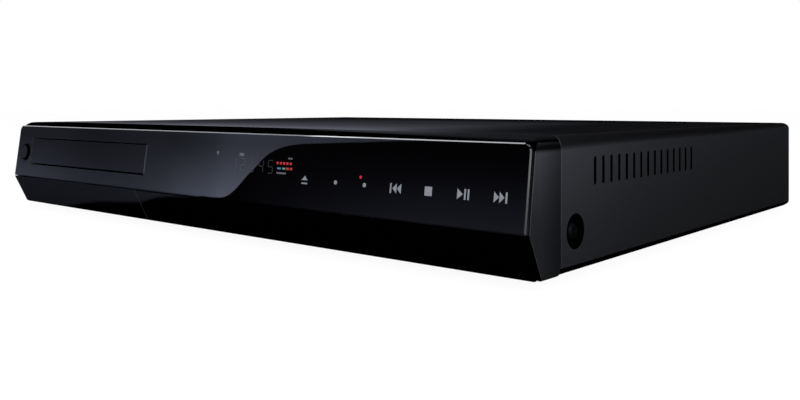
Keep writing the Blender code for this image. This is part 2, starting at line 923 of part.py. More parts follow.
def make_hood():
    low = Vector((-half_width, hood_front, base))
    high = Vector((half_width, back, top))

    def soft_box(name, low, high, radius):
        """A box whose long edges and whose top and bottom back edges are rounded."""
        mesh = bpy.data.meshes.new(name)
        shape = bmesh.new()
        place = Matrix.Translation((low + high) / 2) @ Matrix.Diagonal((*(high - low), 1))
        bmesh.ops.create_cube(shape, size=1, matrix=place)
        middle = (low + high) / 2
        edges = []
        for edge in shape.edges:
            run = edge.verts[1].co - edge.verts[0].co
            at_back = min(vert.co.y for vert in edge.verts) > middle.y
            if abs(run.y) > abs(run.x) + abs(run.z) or (at_back and abs(run.x) > abs(run.z)):
                edges.append(edge)
        bmesh.ops.bevel(
            shape, geom=edges, offset=radius, segments=hood_corner_steps, profile=round_profile,
            affect="EDGES"
        )
        shape.to_mesh(mesh)
        shape.free()
        smooth(mesh)
        return put(name, mesh, black_paint)

    hood = soft_box("top_cover", low, high, corner_radius)
    wall = Vector((sheet, sheet, sheet))
    ahead = Vector((0, overrun + sheet, 0))
    inside = soft_box("hood_inside", low + wall - ahead, high - wall, corner_radius - sheet)
    under = block(
        "hood_under", (hood_foot_lip - half_width, hood_front - overrun, base - overrun),
        (half_width - hood_foot_lip, back + overrun, base + corner_radius),
    )
    behind = block(
        "hood_behind", (sheet - half_width, back - corner_radius, base - overrun),
        (half_width - sheet, back + overrun, top - hood_back_lip),
    )
    cups = []
    dips = []
    for side in (-1, 1):
        name = "left" if side < 0 else "right"
        middle = (side * half_width, front + dimple_depth_place, base + dimple_height)
        outward = (side, 0, 0)
        rim = dimple_radius + sheet
        floor = dimple_floor_radius + sheet
        cups.append(turned(
            "cup_" + name,
            [(0, -sheet / 2), (rim, -sheet / 2), (rim, -sheet * cup_rim_share), (floor, -dimple_reach),
             (0, -dimple_reach)],
            middle, outward,
        ))
        dips.append(turned(
            "dip_" + name,
            [(0, overrun), (dimple_radius, overrun), (dimple_radius, -sheet / 2),
             (dimple_floor_radius, sheet - dimple_reach), (0, sheet - dimple_reach)],
            middle, outward,
        ))
        dips.append(rod(
            "screw_way_" + name, (side * (half_width - 2 * dimple_reach), *middle[1:]), outward,
            screw_radius + gap, 2 * dimple_reach, None, small_sides,
        ))
    vents = []
    for number in range(vent_count):
        y = front + vent_first + number * vent_pitch
        half = vent_width / 2
        outline = slot((y, base + vent_low + half), (y, base + vent_high - half), half, bend_steps)
        vents.append(flat(f"vent_{number}", [outline], flat_x, -half_width - overrun, half_width + overrun))
    cut(hood, inside)
    join(hood, *cups)
    cut(hood, under, behind, *dips, *vents)


def make_hood_screws():
    for side in (-1, 1):
        name = "cover_screw_left" if side < 0 else "cover_screw_right"
        seat_x = side * (half_width - dimple_reach + sheet + gap)
        place = (seat_x, front + dimple_depth_place, base + dimple_height)
        head = screw_head_radius
        turned(
            name,
            [(0, screw_head_height), (head * screw_crown_share, screw_head_height),
             (head, screw_head_height / 2), (head, 0), (screw_radius, 0), (screw_radius, -screw_length),
             (0, -screw_length)],
            place, (side, 0, 0), black_steel, small_sides,
        )


def standoff_places(left, right, low, high):
    inset = 2 * standoff_radius
    return [(x, y) for x in (left + inset, right - inset) for y in (low + inset, high - inset)]


def standoffs(left, right, low, high):
    """Posts under a board's corners."""
    length = sheet / 2 + standoff_height
    return [
        rod("post", (x, y, pan_low + sheet / 2), (0, 0, 1), standoff_radius, length, None, small_sides)
        for x, y in standoff_places(left, right, low, high)
    ]


def make_pan():
    side = pan_half_width
    high = pan_low + pan_side_height
    outer = [
        (-side, high, 0), (-side, pan_low, pan_bend_radius), (side, pan_low, pan_bend_radius), (side, high, 0)
    ]
    inside = [
        (side - sheet, high, 0), (side - sheet, pan_top, pan_bend_radius - sheet),
        (sheet - side, pan_top, pan_bend_radius - sheet), (sheet - side, high, 0),
    ]
    outline = rounded(outer + inside, bend_steps)
    pan = across_y("chassis_base", [outline], hood_front, panel_in - gap, zinc_steel)
    posts = []
    for left, right, low, high in (
        (power_board_left, power_board_right, front + power_board_front, front + power_board_back),
        (main_board_left, main_board_right, front + main_board_front, front + main_board_back),
    ):
        posts += standoffs(left, right, low, high)
    join(pan, *posts)
    holes = []
    for end in (-1, 1):
        start = (end * (side - overrun), front + dimple_depth_place, base + dimple_height)
        holes.append(
            rod("screw_hole", start, (end, 0, 0), screw_radius + gap, 2 * overrun, None, small_sides)
        )
    for number in range(pan_vent_count):
        x = disk_x + (number - (pan_vent_count - 1) / 2) * pan_vent_pitch
        y = front + disk_front + disk_depth / 2
        half = pan_vent_width / 2
        reach = pan_vent_length / 2 - half
        outline = slot((x, y - reach), (x, y + reach), half, short_steps)
        holes.append(flat(f"pan_vent_{number}", [outline], flat_z, pan_low - overrun, pan_top + overrun))
    cut(pan, *holes)


def make_feet():
    places = {
        "foot_front_left": (foot_inset_side - half_width, front + foot_inset_front),
        "foot_front_right": (half_width - foot_inset_side, front + foot_inset_front),
        "foot_rear_left": (foot_inset_side - half_width, back - foot_inset_back),
        "foot_rear_right": (half_width - foot_inset_side, back - foot_inset_back),
    }
    height = pan_low - gap
    rim = foot_radius
    sole_inner, hollow = (rim * share for share in foot_hollow_shares)
    for name, (x, y) in places.items():
        turned(
            name,
            [(0, height), (rim * foot_top_share, height), (rim, height - foot_height / 6),
             (rim, foot_height / 2), (rim * foot_sole_share, 0), (sole_inner, 0), (hollow, foot_height / 3),
             (0, foot_height / 3)],
            (x, y, 0), material=rubber,
        )


def jack_places(centre, columns, low, rows):
    return [
        (centre + (column - (columns - 1) / 2) * rear_jack_pitch, base + low + row * rear_jack_pitch)
        for column in range(columns) for row in range(rows)
    ]


rear_jacks = {
    "component_jacks": jack_places(component_x, 2, rear_jack_low, 2),
    "av_out_jacks": jack_places(av_out_x, 3, rear_jack_low, 2),
}
tuner_jacks = [(tuner_x, base + tuner_low + row * tuner_pitch) for row in range(2)]
scart_rows = {
    "scart_socket_lower": base + scart_lower, "scart_socket_upper": base + scart_lower + scart_pitch
}
rear_port_height = rear_jack_low - jack_radius


def make_rear_panel():
    side = half_width - sheet - gap
    corner = corner_radius
    high = top - corner + sheet / 2
    corners = [(-side, pan_low, corner), (side, pan_low, corner), (side, high, corner), (-side, high, corner)]
    outline = rounded(corners, bend_steps)
    holes = []
    for places in rear_jacks.values():
        holes += [circle(x, z, jack_radius + jack_hole_clearance, small_sides) for x, z in places]
    holes += [circle(x, z, coax_radius + jack_hole_clearance, small_sides) for x, z in tuner_jacks]
    for z in scart_rows.values():
        half = scart_width / 2 + gap
        tall = scart_tall / 2 + gap
        holes.append(rectangle(scart_x - half, scart_x + half, z - tall, z + tall))
    low = base + rear_port_height
    half = hdmi_width / 2 + gap
    holes.append(rectangle(hdmi_x - half, hdmi_x + half, low - gap, low + hdmi_height + gap))
    half = digital_side / 2 + gap
    holes.append(rectangle(digital_x - half, digital_x + half, low - gap, low + digital_side + gap))
    half = inlet_width / 2 + gap
    tall = inlet_tall / 2 + gap
    middle = base + inlet_height
    holes.append(rectangle(inlet_x - half, inlet_x + half, middle - tall, middle + tall))
    for number in range(grille_slots):
        rise = (number - (grille_slots - 1) / 2) * grille_pitch
        half = grille_slot_width / 2
        reach = math.sqrt(fan_bore_radius ** 2 - rise ** 2) - half
        z = base + fan_height + rise
        holes.append(slot((fan_x - reach, z), (fan_x + reach, z), half, short_steps))
    across_y("rear_panel", [outline, *holes], panel_in, panel_out, zinc_steel)


def make_drive_frame():
    side = frame_width / 2
    y_low = front + frame_front
    y_high = y_low + frame_depth
    frame = block(
        "drive_frame", (tray_centre - side, y_low, floor_low), (tray_centre + side, y_high, frame_top),
        grey_plastic
    )
    inner = side - frame_wall
    inside = block(
        "frame_inside", (tray_centre - inner, y_low + frame_wall, floor_top),
        (tray_centre + inner, y_high - frame_wall, frame_top + overrun),
    )
    mouth = block(
        "frame_mouth", (tray_centre - inner, y_low - overrun, tray_low - rack_height - gap),
        (tray_centre + inner, y_low + 2 * frame_wall, frame_top + overrun),
    )
    half = frame_window_width / 2
    window = block(
        "frame_window", (tray_centre - half, front + frame_window_front, floor_low - overrun),
        (tray_centre + half, front + frame_window_back, floor_top + overrun),
    )
    ledges = []
    flange_low = tray_low + (tray_thickness - tray_flange_height) / 3
    for end in (-1, 1):
        wall_x = tray_centre + end * (inner + frame_wall / 2)
        tip_x = tray_centre + end * (inner - ledge_reach)
        low_x, high_x = sorted((wall_x, tip_x))
        ledges.append(block(
            "ledge", (low_x, y_low + frame_wall / 2, flange_low - gap - ledge_height),
            (high_x, y_high - frame_wall / 2, flange_low - gap),
        ))
        hook_low = flange_low + tray_flange_height + gap
        for share in hook_shares:
            y = y_low + frame_depth * share
            ledges.append(
                block("hook", (low_x, y, hook_low), (high_x, y + hook_length, hook_low + ledge_height))
            )
    legs = []
    leg_half = leg_side / 2
    for end_x in (-1, 1):
        for y in (y_low + leg_side, y_high - leg_side):
            x = tray_centre + end_x * (side - leg_side)
            low = (x - leg_half, y - leg_half, pan_top + gap)
            legs.append(block("leg", low, (x + leg_half, y + leg_half, floor_low + frame_floor / 2)))
    bosses = []
    for end in (-1, 1):
        low_x, high_x = sorted((tray_centre + end * boss_inner, tray_centre + end * boss_outer))
        bosses.append(block(
            "boss", (low_x, pivot_y - boss_half_depth, floor_top - frame_floor / 2),
            (high_x, pivot_y + boss_half_depth, pivot_z + boss_half_depth),
        ))
    posts = []
    in_floor = floor_top - frame_floor / 2
    pulley_seat = gear_low - pulley_height - 2 * pulley_flange - gap
    for x, seat_high in ((tray_gear_x, gear_low - gap), (pinion_x, pulley_seat)):
        length = gear_top - floor_low - gap
        posts.append(rod(
            "post", (x, gear_y, floor_low + gap), (0, 0, 1), gear_post_radius, length, None, small_sides
        ))
        posts.append(rod(
            "seat", (x, gear_y, in_floor), (0, 0, 1), gear_seat_radius, seat_high - in_floor, None,
            small_sides
        ))
    ribs = []
    slider_y = front + slider_front
    rib_left = tray_centre + lift_pin_x - 2 * slider_margin - slider_travel
    rib_right = tray_centre + lift_pin_x + slider_travel + slider_margin
    for low_y in (slider_y - gap - rib_thickness, slider_y + slider_thickness + gap):
        high = (rib_right, low_y + rib_thickness, floor_top + rib_height)
        ribs.append(block("rib", (rib_left, low_y, in_floor), high))
    cut(frame, inside, mouth, window)
    join(frame, *ledges, *legs, *bosses, *posts, *ribs)
    pivot_way = rod(
        "pivot_way", (tray_centre - boss_outer - overrun, pivot_y, pivot_z), (1, 0, 0),
        pivot_pin_radius + gap,
        2 * (boss_outer + overrun),
    )
    motor_way = rod(
        "motor_way", (motor_x, motor_y, floor_low - overrun), (0, 0, 1),
        loading_motor_radius * motor_seat_share,
        frame_floor + 2 * overrun,
    )
    cut(frame, pivot_way, motor_way)


def make_tray():
    half = tray_width / 2
    y_low = front + tray_start
    y_high = y_low + tray_depth
    outline = rounded([
        (tray_centre - half, y_low, 0), (tray_centre + half, y_low, 0),
        (tray_centre + half, y_high, tray_corner),
        (tray_centre - half, y_high, tray_corner),
    ])
    tray = flat("disc_tray", [outline], flat_z, tray_low, tray_top, satin_black)
    flange_low = tray_low + (tray_thickness - tray_flange_height) / 3
    reach = half + tray_flange_reach
    flange = block(
        "flange", (tray_centre - reach, front + tray_flange_start, flange_low),
        (tray_centre + reach, y_high - tray_corner, flange_low + tray_flange_height),
    )
    back_x = tray_centre + half - rack_inset
    teeth = rack_outline(rack_pitch_x, back_x, gear_y, rack_teeth)
    rack = flat("rack", [teeth], flat_z, tray_low - rack_height, tray_low + overrun)
    join(tray, flange, rack)
    wide = disc_radius + recess_clearance
    recess = rod(
        "recess", (tray_centre, disc_y, tray_floor), (0, 0, 1), wide, tray_thickness, None, disc_sides
    )
    narrow = small_disc_radius + recess_clearance
    lower = tray_floor - small_disc_step
    small = rod(
        "small_recess", (tray_centre, disc_y, lower), (0, 0, 1), narrow, tray_thickness, None, fine_sides
    )
    way_left = tray_centre - tray_slot_width / 2
    way_right = tray_centre + tray_slot_width / 2
    way_front = disc_y - tray_slot_front
    way_back = disc_y + tray_slot_back
    front_radius = tray_slot_width / 4
    back_radius = tray_slot_width / 8
    way_outline = rounded([
        (way_left, way_front, front_radius), (way_right, way_front, front_radius),
        (way_right, way_back, back_radius), (way_left, way_back, back_radius),
    ])
    way = flat("spindle_way", [way_outline], flat_z, tray_low - overrun, tray_top + overrun)
    grips = []
    reach = disc_radius - finger_radius / 2
    for end in (-1, 1):
        place = (tray_centre + end * reach * math.cos(grip_turn), disc_y - reach * math.sin(grip_turn), lower)
        grips.append(rod("grip", place, (0, 0, 1), finger_radius, tray_thickness))
    cut(tray, recess, small, way, *grips)
    pivot_at(tray, (tray_centre, y_low, tray_low))


def make_tray_door():
    low = base + door_low
    high = low + door_height
    thick = cheek_step - gap
    face_low = window_face(door_low)
    face_high = window_face(door_low + door_height)
    half = door_width / 2
    outline = [(face_low, low), (face_low + thick, low), (face_high + thick, high), (face_high, high)]
    door = flat("tray_door", [outline], flat_x, tray_centre - half, tray_centre + half, gloss_black)
    tongue_half = tray_width / 2 - 2 * door_margin
    tongue = block(
        "tongue", (tray_centre - tongue_half, face_high + thick / 3, tray_low + gap),
        (tray_centre + tongue_half, front + tray_start - gap, tray_top - gap),
    )
    join(door, tongue)
    pivot_at(door, (tray_centre, face_low, low))


def make_loading_train():
    inner = gear_post_radius + gap
    teeth = gear_outline(tray_gear_teeth, tray_gear_x, gear_y, 0)
    bore = circle(tray_gear_x, gear_y, inner, small_sides)
    tray_gear = flat("tray_gear", [teeth, bore], flat_z, gear_low, gear_top, white_plastic)
    pivot_at(tray_gear, (tray_gear_x, gear_y, gear_low))
    low = gear_low - pulley_flange
    high = gear_low + pulley_flange + pinion_height
    teeth = gear_outline(pinion_teeth, pinion_x, gear_y, math.pi / pinion_teeth)
    bore = circle(pinion_x, gear_y, inner, small_sides)
    pinion = flat("pulley_gear", [teeth, bore], flat_z, low, high, white_plastic)
    pulley_low = gear_low - pulley_height - pulley_flange
    profile = pulley_profile(inner, pulley_radius)
    pulley = turned("pulley", profile, (pinion_x, gear_y, pulley_low), closed=True)
    join(pinion, pulley)
    pivot_at(pinion, (pinion_x, gear_y, gear_low))
    profile = pulley_profile(motor_shaft_radius + gap, motor_pulley_radius)
    turned("motor_pulley", profile, (motor_x, motor_y, pulley_low), material=white_plastic, closed=True)
    belt_z = gear_low - pulley_height / 2 - pulley_flange
    points = belt_points(
        (motor_x, motor_y), motor_pulley_radius + gap, (pinion_x, gear_y), pulley_radius + gap, belt_z
    )
    tube("loading_belt", points, belt_radius, rubber)
    can_top = gear_low - pulley_height - 2 * pulley_flange - gap
    shaft_top = gear_low - pulley_flange
    radius = loading_motor_radius
    edge = radius * motor_edge_share
    turned(
        "loading_motor",
        [(0, shaft_top), (motor_shaft_radius, shaft_top), (motor_shaft_radius, can_top),
         (radius - edge, can_top), (radius, can_top - edge), (radius, floor_top + gap), (0, floor_top + gap)],
        (motor_x, motor_y, 0), material=steel,
    )


def pulley_profile(bore, radius):
    """A grooved pulley's ring section, from its top outer corner round to its bore."""
    rim = radius + belt_radius
    groove = radius - belt_radius
    high = pulley_height + pulley_flange / 2
    low = -pulley_flange / 2
    middle = pulley_height / 2
    half = belt_radius + 2 * gap
    return [
        (rim, high), (rim, middle + half), (groove - gap, middle + half / 2),
        (groove - gap, middle - half / 2),
        (rim, middle - half), (rim, low), (bore, low), (bore, high),
    ]


def make_cam_slider():
    x = tray_centre + lift_pin_x
    y = front + slider_front
    outline = rectangle(x - slider_margin, x + slider_travel + slider_margin, slider_low, slider_top)
    slanted = slot((x, lift_pin_low), (x + slider_travel, pivot_z), slot_half)
    slider = across_y("cam_slider", [outline, slanted], y, y + slider_thickness, white_plastic)
    pivot_at(slider, (x, y, slider_low))


def make_traverse():
    holder = bpy.data.objects.new("traverse_pivot", None)
    parts.objects.link(holder)
    holder.location = (tray_centre, pivot_y, pivot_z)
    middle = tray_centre
    rod_half = rod_spacing / 2
    lug_half = lug_width / 2
    deck_outline = rectangle(
        middle - deck_half_width, middle + deck_half_width, front + deck_front, front + deck_back
    )
    window_low = rod_front + lug_depth / 2
    window_high = rod_back - lug_depth / 2
    screw_x = middle + lead_screw_x
    motor_half = sled_motor_radius + 2 * gap
    sled_window = rectangle(middle - rod_half - lug_half - gap, screw_x + motor_half, window_low, window_high)
    motor_low = screw_back - gap
    motor_window = rectangle(
        screw_x - motor_half, screw_x + motor_half, motor_low, motor_low + sled_motor_length + 2 * gap
    )
    deck = flat("traverse_deck", [deck_outline, sled_window, motor_window], flat_z, deck_low, deck_top, steel)
    pins = [
        rod("lift_pin", (middle + lift_pin_x, front + deck_front + overrun, pivot_z), (0, -1, 0),
            lift_pin_radius, lift_pin_length + overrun, None, small_sides),
        rod("pivot_pin", (middle - pivot_pin_reach, pivot_y, pivot_z), (1, 0, 0), pivot_pin_radius,
            2 * pivot_pin_reach),
    ]
    lugs = []
    holes = []
    seat_reach = lug_depth * rod_seat_share
    rod_length = rod_back - rod_front + 2 * seat_reach
    for end in (-1, 1):
        x = middle + end * rod_half
        for y in (rod_front, rod_back):
            lugs.append(block(
                "lug", (x - lug_half, y - lug_depth / 2, deck_low + deck_thickness / 2),
                (x + lug_half, y + lug_depth / 2, rod_z + rod_radius * 2),
            ))
        start = (x, rod_front - seat_reach, rod_z)
        holes.append(rod("rod_way", start, (0, 1, 0), rod_radius + gap, rod_length, None, small_sides))
    cradle = block(
        "screw_cradle", (screw_x - lug_half, rod_back - lug_depth / 2, deck_low),
        (screw_x + lug_half, rod_back + lug_depth / 2, screw_z + lead_screw_radius + lug_depth),
    )
    holes.append(rod(
        "screw_way", (screw_x, rod_back - lug_depth, screw_z), (0, 1, 0), lead_screw_radius + gap,
        2 * lug_depth,
        None, small_sides,
    ))
    join(deck, *pins, *lugs, cradle)
    cut(deck, *holes)
    pivot_at(deck, (middle, pivot_y, pivot_z))

    radius = spindle_motor_radius
    motor_low_z = deck_top + gap
    spindle_motor = turned(
        "spindle_motor",
        [(0, seat), (spindle_shaft_radius, seat), (spindle_shaft_radius, spindle_motor_top),
         (radius - bottom_radius / 4, spindle_motor_top), (radius, spindle_motor_top - bottom_radius / 4),
         (radius, motor_low_z), (0, motor_low_z)],
        (middle, disc_y, 0), material=steel,
    )
    inner = spindle_shaft_radius + gap
    plate_low = seat - turntable_thickness
    turntable = turned(
        "turntable",
        [(0, hub_top), (hub_nose_radius, hub_top), (hub_radius, seat + hub_straight), (hub_radius, seat),
         (turntable_radius, seat), (turntable_radius, plate_low), (inner, plate_low), (inner, seat + gap),
         (0, seat + gap)],
        (middle, disc_y, 0), material=grey_plastic,
    )

    sled_low = rod_z - sled_drop
    sled_back = sled_front + sled_depth
    sled = block(
        "pickup_sled", (middle - sled_width / 2, sled_front, sled_low),
        (middle + sled_width / 2, sled_back, sled_low + sled_height), steel, sled_edge,
    )
    adds = []
    ways = []
    for end in (-1, 1):
        x = middle + end * rod_half
        length = sled_depth - 2 * gap
        adds.append(rod(
            "sled_boss", (x, sled_front + gap, rod_z), (0, 1, 0), sled_boss_radius, length, None, small_sides
        ))
        low_x, high_x = sorted((x, middle + end * (sled_width / 2 - overrun)))
        adds.append(block(
            "sled_web", (low_x, sled_front + 2 * gap, rod_z - rod_radius),
            (high_x, sled_back - 2 * gap, rod_z + rod_radius),
        ))
        length = sled_depth + 2 * overrun
        ways.append(rod(
            "sled_way", (x, sled_front - overrun, rod_z), (0, 1, 0), rod_radius + gap, length, None,
            small_sides
        ))
    turret_y = sled_front + turret_radius + gap
    turret_top = sled_low + sled_height + turret_height
    turret_start = sled_low + sled_height / 2
    turret = rod(
        "turret", (middle, turret_y, turret_start), (0, 0, 1), turret_radius, turret_top - turret_start
    )
    arm_right = screw_x - lead_screw_radius - gap
    arm = block(
        "arm", (middle + rod_half, sled_front + sled_depth / 3, screw_z - lead_screw_radius),
        (arm_right, sled_front + sled_depth * 2 / 3, screw_z + lead_screw_radius),
    )
    seat_low = turret_top - lens_dome
    lens_seat = rod(
        "lens_seat", (middle, turret_y, seat_low), (0, 0, 1), lens_radius + gap, lens_dome + overrun
    )
    join(sled, *adds, turret, arm)
    cut(sled, *ways, lens_seat)
    pivot_at(sled, (middle, sled_front, sled_low))
    low = seat_low + gap
    crown_radius, crown_height = lens_crown_shares
    lens = turned(
        "pickup_lens",
        [(0, low + lens_dome), (lens_radius * crown_radius, low + lens_dome * crown_height),
         (lens_radius, low + lens_dome * lens_edge_share), (lens_radius, low), (0, low)],
        (middle, turret_y, 0), material=lens_glass, sides=small_sides,
    )
    rods = []
    for end, name in ((-1, "guide_rod_left"), (1, "guide_rod_right")):
        start = (middle + end * rod_half, rod_front - seat_reach + gap, rod_z)
        rods.append(rod(name, start, (0, 1, 0), rod_radius, rod_length - 2 * gap, steel, small_sides))
    lead_start = window_low + gap
    lead = rod(
        "lead_screw", (screw_x, lead_start, screw_z), (0, 1, 0), lead_screw_radius, motor_low - lead_start,
        steel, small_sides
    )
    pivot_at(lead, (screw_x, lead_start, screw_z))
    sled_motor = rod(
        "sled_motor", (screw_x, motor_low + gap, screw_z), (0, 1, 0), sled_motor_radius, sled_motor_length,
        steel
    )
    carry(holder, deck, spindle_motor, turntable, sled, lens, *rods, lead, sled_motor)
    holder.rotation_euler = (rest_tilt, 0, 0)


def make_clamp():
    side = frame_width / 2
    low = frame_top + gap
    half = bridge_width / 2
    outline = rectangle(tray_centre - side, tray_centre + side, disc_y - half, disc_y + half)
    hole = circle(tray_centre, disc_y, bridge_hole_radius, round_sides)
    flat("clamp_bridge", [outline, hole], flat_z, low, low + sheet, zinc_steel)
    high = low + sheet + gap
    top_flange = high + puck_flange
    puck_low = hub_top + puck_drop
    nose = hub_radius + recess_clearance
    turned(
        "clamp_puck",
        [(0, top_flange), (puck_flange_radius, top_flange), (puck_flange_radius, high),
         (puck_neck_radius, high),
         (puck_neck_radius, low - puck_drop), (puck_radius, low - puck_drop), (puck_radius, puck_low),
         (nose, puck_low), (nose, puck_low + puck_flange), (0, puck_low + puck_flange)],
        (tray_centre, disc_y, 0), material=white_plastic,
    )


def make_power_button():
    place = on_window(button_x, button_height)
    outward = on_window(button_x, button_height, -1) - place
    cap = button_radius
    turned(
        "power_button",
        [(0, button_proud), (cap - window_bevel, button_proud), (cap, button_proud - window_bevel / 2),
         (cap, button_proud - button_cap), (button_stem_radius, button_proud - button_cap),
         (button_stem_radius, -button_stem), (0, -button_stem)],
        place, outward, gloss_black,
    )
    rise = (button_height - ridge_height) / math.cos(lean)
    board_top = -key_board_depth
    switch_top = board_top + switch_height
    half = key_board_width / 2
    outline = rectangle(
        button_x - half, button_x + half, rise - key_board_height / 2, rise + key_board_height / 2
    )
    key_board = flat("power_key_board", [outline], flat_lean, board_top - board, board_top, board_green)
    side = switch_side / 2
    switch = flat(
        "switch", [rectangle(button_x - side, button_x + side, rise - side, rise + side)], flat_lean,
        board_top - board / 2, switch_top,
    )
    join(key_board, switch)


def make_jack_flap():
    upper, bottom, down, inward = lower_face_points()
    outer_top = upper + down * gap
    inner_top = outer_top + Vector((flap_thickness / inward.x, 0))
    inner_height = base + flap_thickness
    reach = (inner_top.y - inner_height) / -down.y
    inner_bottom = inner_top + down * reach
    outline = rounded([
        (outer_top.x, outer_top.y, 0), (bottom.x, bottom.y, bottom_radius), (bottom.x + flap_wrap, base, 0),
        (bottom.x + flap_wrap, inner_height, 0), (inner_bottom.x, inner_height, 0),
        (inner_top.x, inner_top.y, 0),
    ])
    flap = flat("jack_door", [outline], flat_x, flap_left, flap_right, gloss_black)
    axis = (front + flap_pivot_depth, base + flap_pivot_height)
    knuckles = []
    for start, direction in ((flap_left, 1), (flap_right, -1)):
        run = (direction, 0, 0)
        knuckles.append(rod("knuckle", (start, *axis), run, flap_knuckle_radius, flap_knuckle_length))
        pin_reach = flap_pin_length + (flap_end_gap if direction > 0 else 0)
        pin_start = start - direction * pin_reach
        length = pin_reach + flap_knuckle_length / 2
        knuckles.append(rod("pin", (pin_start, *axis), run, flap_pin_radius, length, None, small_sides))
    join(flap, *knuckles)
    pivot_at(flap, (flap_left, *axis))


def round_jacks(name, places, tip, outward, reach, body_y, depth, margins, radius, bore, material):
    """A moulded block from body_y inwards by depth, with a bored barrel for each place out to tip."""
    xs = [x for x, _ in places]
    zs = [z for _, z in places]
    far_y = body_y - outward * depth
    low_y, high_y = sorted((body_y, far_y))
    side, rise = margins
    low = (min(xs) - side, low_y, min(zs) - rise)
    body = block(name, low, (max(xs) + side, high_y, max(zs) + rise), material)
    barrels = []
    bores = []
    for x, z in places:
        start = body_y - outward * depth / 2
        barrels.append(
            rod("barrel", (x, start, z), (0, outward, 0), radius, abs(tip - start), None, small_sides)
        )
        start = tip + outward * overrun
        bores.append(rod("bore", (x, start, z), (0, -outward, 0), bore, reach + overrun, None, small_sides))
    join(body, *barrels)
    cut(body, *bores)


def port(name, x, z, width, height, face_y, outward, depth, wall, tongue, material):
    """A rectangular socket: a shell with an open mouth at face_y and a tongue in it."""
    back_y = face_y - outward * depth
    low_y, high_y = sorted((face_y, back_y))
    shell = block(
        name, (x - width / 2, low_y, z - height / 2), (x + width / 2, high_y, z + height / 2), material
    )
    mouth_y = sorted((face_y + outward * overrun, back_y + outward * wall * 2))
    mouth = block(
        "mouth", (x - width / 2 + wall, mouth_y[0], z - height / 2 + wall),
        (x + width / 2 - wall, mouth_y[1], z + height / 2 - wall),
    )
    cut(shell, mouth)
    if tongue:
        tip_y = face_y - outward * wall * 2
        tongue_y = sorted((tip_y, back_y + outward * wall))
        side = (width - height + tongue) / 2
        blade = block(
            "blade", (x - side, tongue_y[0], z - tongue / 2), (x + side, tongue_y[1], z + tongue / 2)
        )
        join(shell, blade)


def make_front_boards():
    low, high = -front_board_set_back - board, -front_board_set_back
    outline = rectangle(front_board_left, front_board_right, front_board_low, front_board_high)
    flat("front_board", [outline], flat_lean, low, high, board_green)
    outline = rectangle(display_left, display_right, display_low, display_high)
    display_front = -core_set_back - display_recess
    flat("display_module", [outline], flat_lean, high + gap, display_front, display_glass)
    wall_back = front + bay_depth + bay_wall
    y = wall_back + jack_board_set_back
    z = base + front_socket_height
    half = jack_body_height / 2
    outline = rectangle(jack_board_left, jack_board_right, z - half, z + half)
    across_y("jack_board", [outline], y, y + board, board_green)
    places = [(front_jack_x + number * front_jack_pitch, z) for number in range(front_jack_count)]
    round_jacks(
        "front_av_jacks", places, front + bay_depth - front_jack_reach, -1, front_jack_reach, wall_back + gap,
        jack_body_depth, (half, half), jack_radius, jack_bore_radius, black_plastic,
    )
    face = front + bay_depth
    depth = bay_wall + jack_board_set_back - gap
    port(
        "front_usb_socket", front_usb_x, z, usb_width, usb_height, face, -1, depth, usb_wall, usb_tongue,
        steel
    )
    port("front_dv_socket", front_dv_x, z, dv_width, dv_height, face, -1, depth, usb_wall, usb_tongue, steel)


def make_boards():
    for name, left, right, low, high in (
        ("power_board", power_board_left, power_board_right,
         front + power_board_front, front + power_board_back),
        ("main_board", main_board_left, main_board_right, front + main_board_front, front + main_board_back),
    ):
        places = standoff_places(left, right, low, high)
        holes = [circle(x, y, screw_radius, small_sides) for x, y in places]
        flat(
            name, [rectangle(left, right, low, high), *holes], flat_z, board_low, board_low + board,
            board_green
        )


def make_power_parts():
    low = board_low + board + gap
    x, y = transformer_x, front + transformer_depth_place
    transformer = block(
        "transformer", (x - transformer_width / 2, y - transformer_depth / 2, low),
        (x + transformer_width / 2, y + transformer_depth / 2, low + transformer_height), ferrite,
    )
    bobbin = block(
        "bobbin",
        (x - bobbin_width / 2, y - bobbin_depth / 2, low + (transformer_height - bobbin_height) / 2),
        (x + bobbin_width / 2, y + bobbin_depth / 2, low + (transformer_height + bobbin_height) / 2),
    )
    join(transformer, bobbin)
    radius = capacitor_radius
    shoulder = capacitor_height - capacitor_crimp
    turned(
        "main_capacitor",
        [(0, shoulder), (radius - capacitor_rim - capacitor_crimp, shoulder),
         (radius - capacitor_rim, capacitor_height), (radius, shoulder), (radius, 0), (0, 0)],
        (capacitor_x, front + capacitor_depth_place, low), material=black_plastic,
    )
    plate = heat_sink_plate
    left = heat_sink_x - plate / 2
    outline = [(left, front + heat_sink_back), (left, front + heat_sink_front)]
    pitch = (heat_sink_back - heat_sink_front - heat_sink_fin_width) / (heat_sink_fins - 1)
    right = left + plate
    for number in range(heat_sink_fins):
        y_low = front + heat_sink_front + number * pitch
        y_high = y_low + heat_sink_fin_width
        outline += [(right + heat_sink_fin, y_low), (right + heat_sink_fin, y_high)]
        if number < heat_sink_fins - 1:
            outline += [(right, y_high), (right, y_low + pitch)]
    flat("power_heat_sink", [outline], flat_z, low, low + heat_sink_height, aluminium)
    z = base + inlet_height
    half = inlet_width / 2
    tall = inlet_tall / 2
    face = panel_out + inlet_flange
    body = block(
        "ac_inlet", (inlet_x - half, face - inlet_body_depth, z - tall), (inlet_x + half, face, z + tall),
        black_plastic
    )
    pitch = inlet_half_pitch
    recess = across_y(
        "inlet_recess", [slot((inlet_x - pitch, z), (inlet_x + pitch, z), inlet_recess_radius)],
        face - inlet_recess_depth, face + overrun,
    )
    cut(body, recess)
    pins = [
        rod("inlet_pin", (inlet_x + end * pitch, face - inlet_recess_depth - sheet, z), (0, 1, 0),
            inlet_pin_radius, inlet_pin_length + sheet, None, small_sides)
        for end in (-1, 1)
    ]
    join(body, *pins)


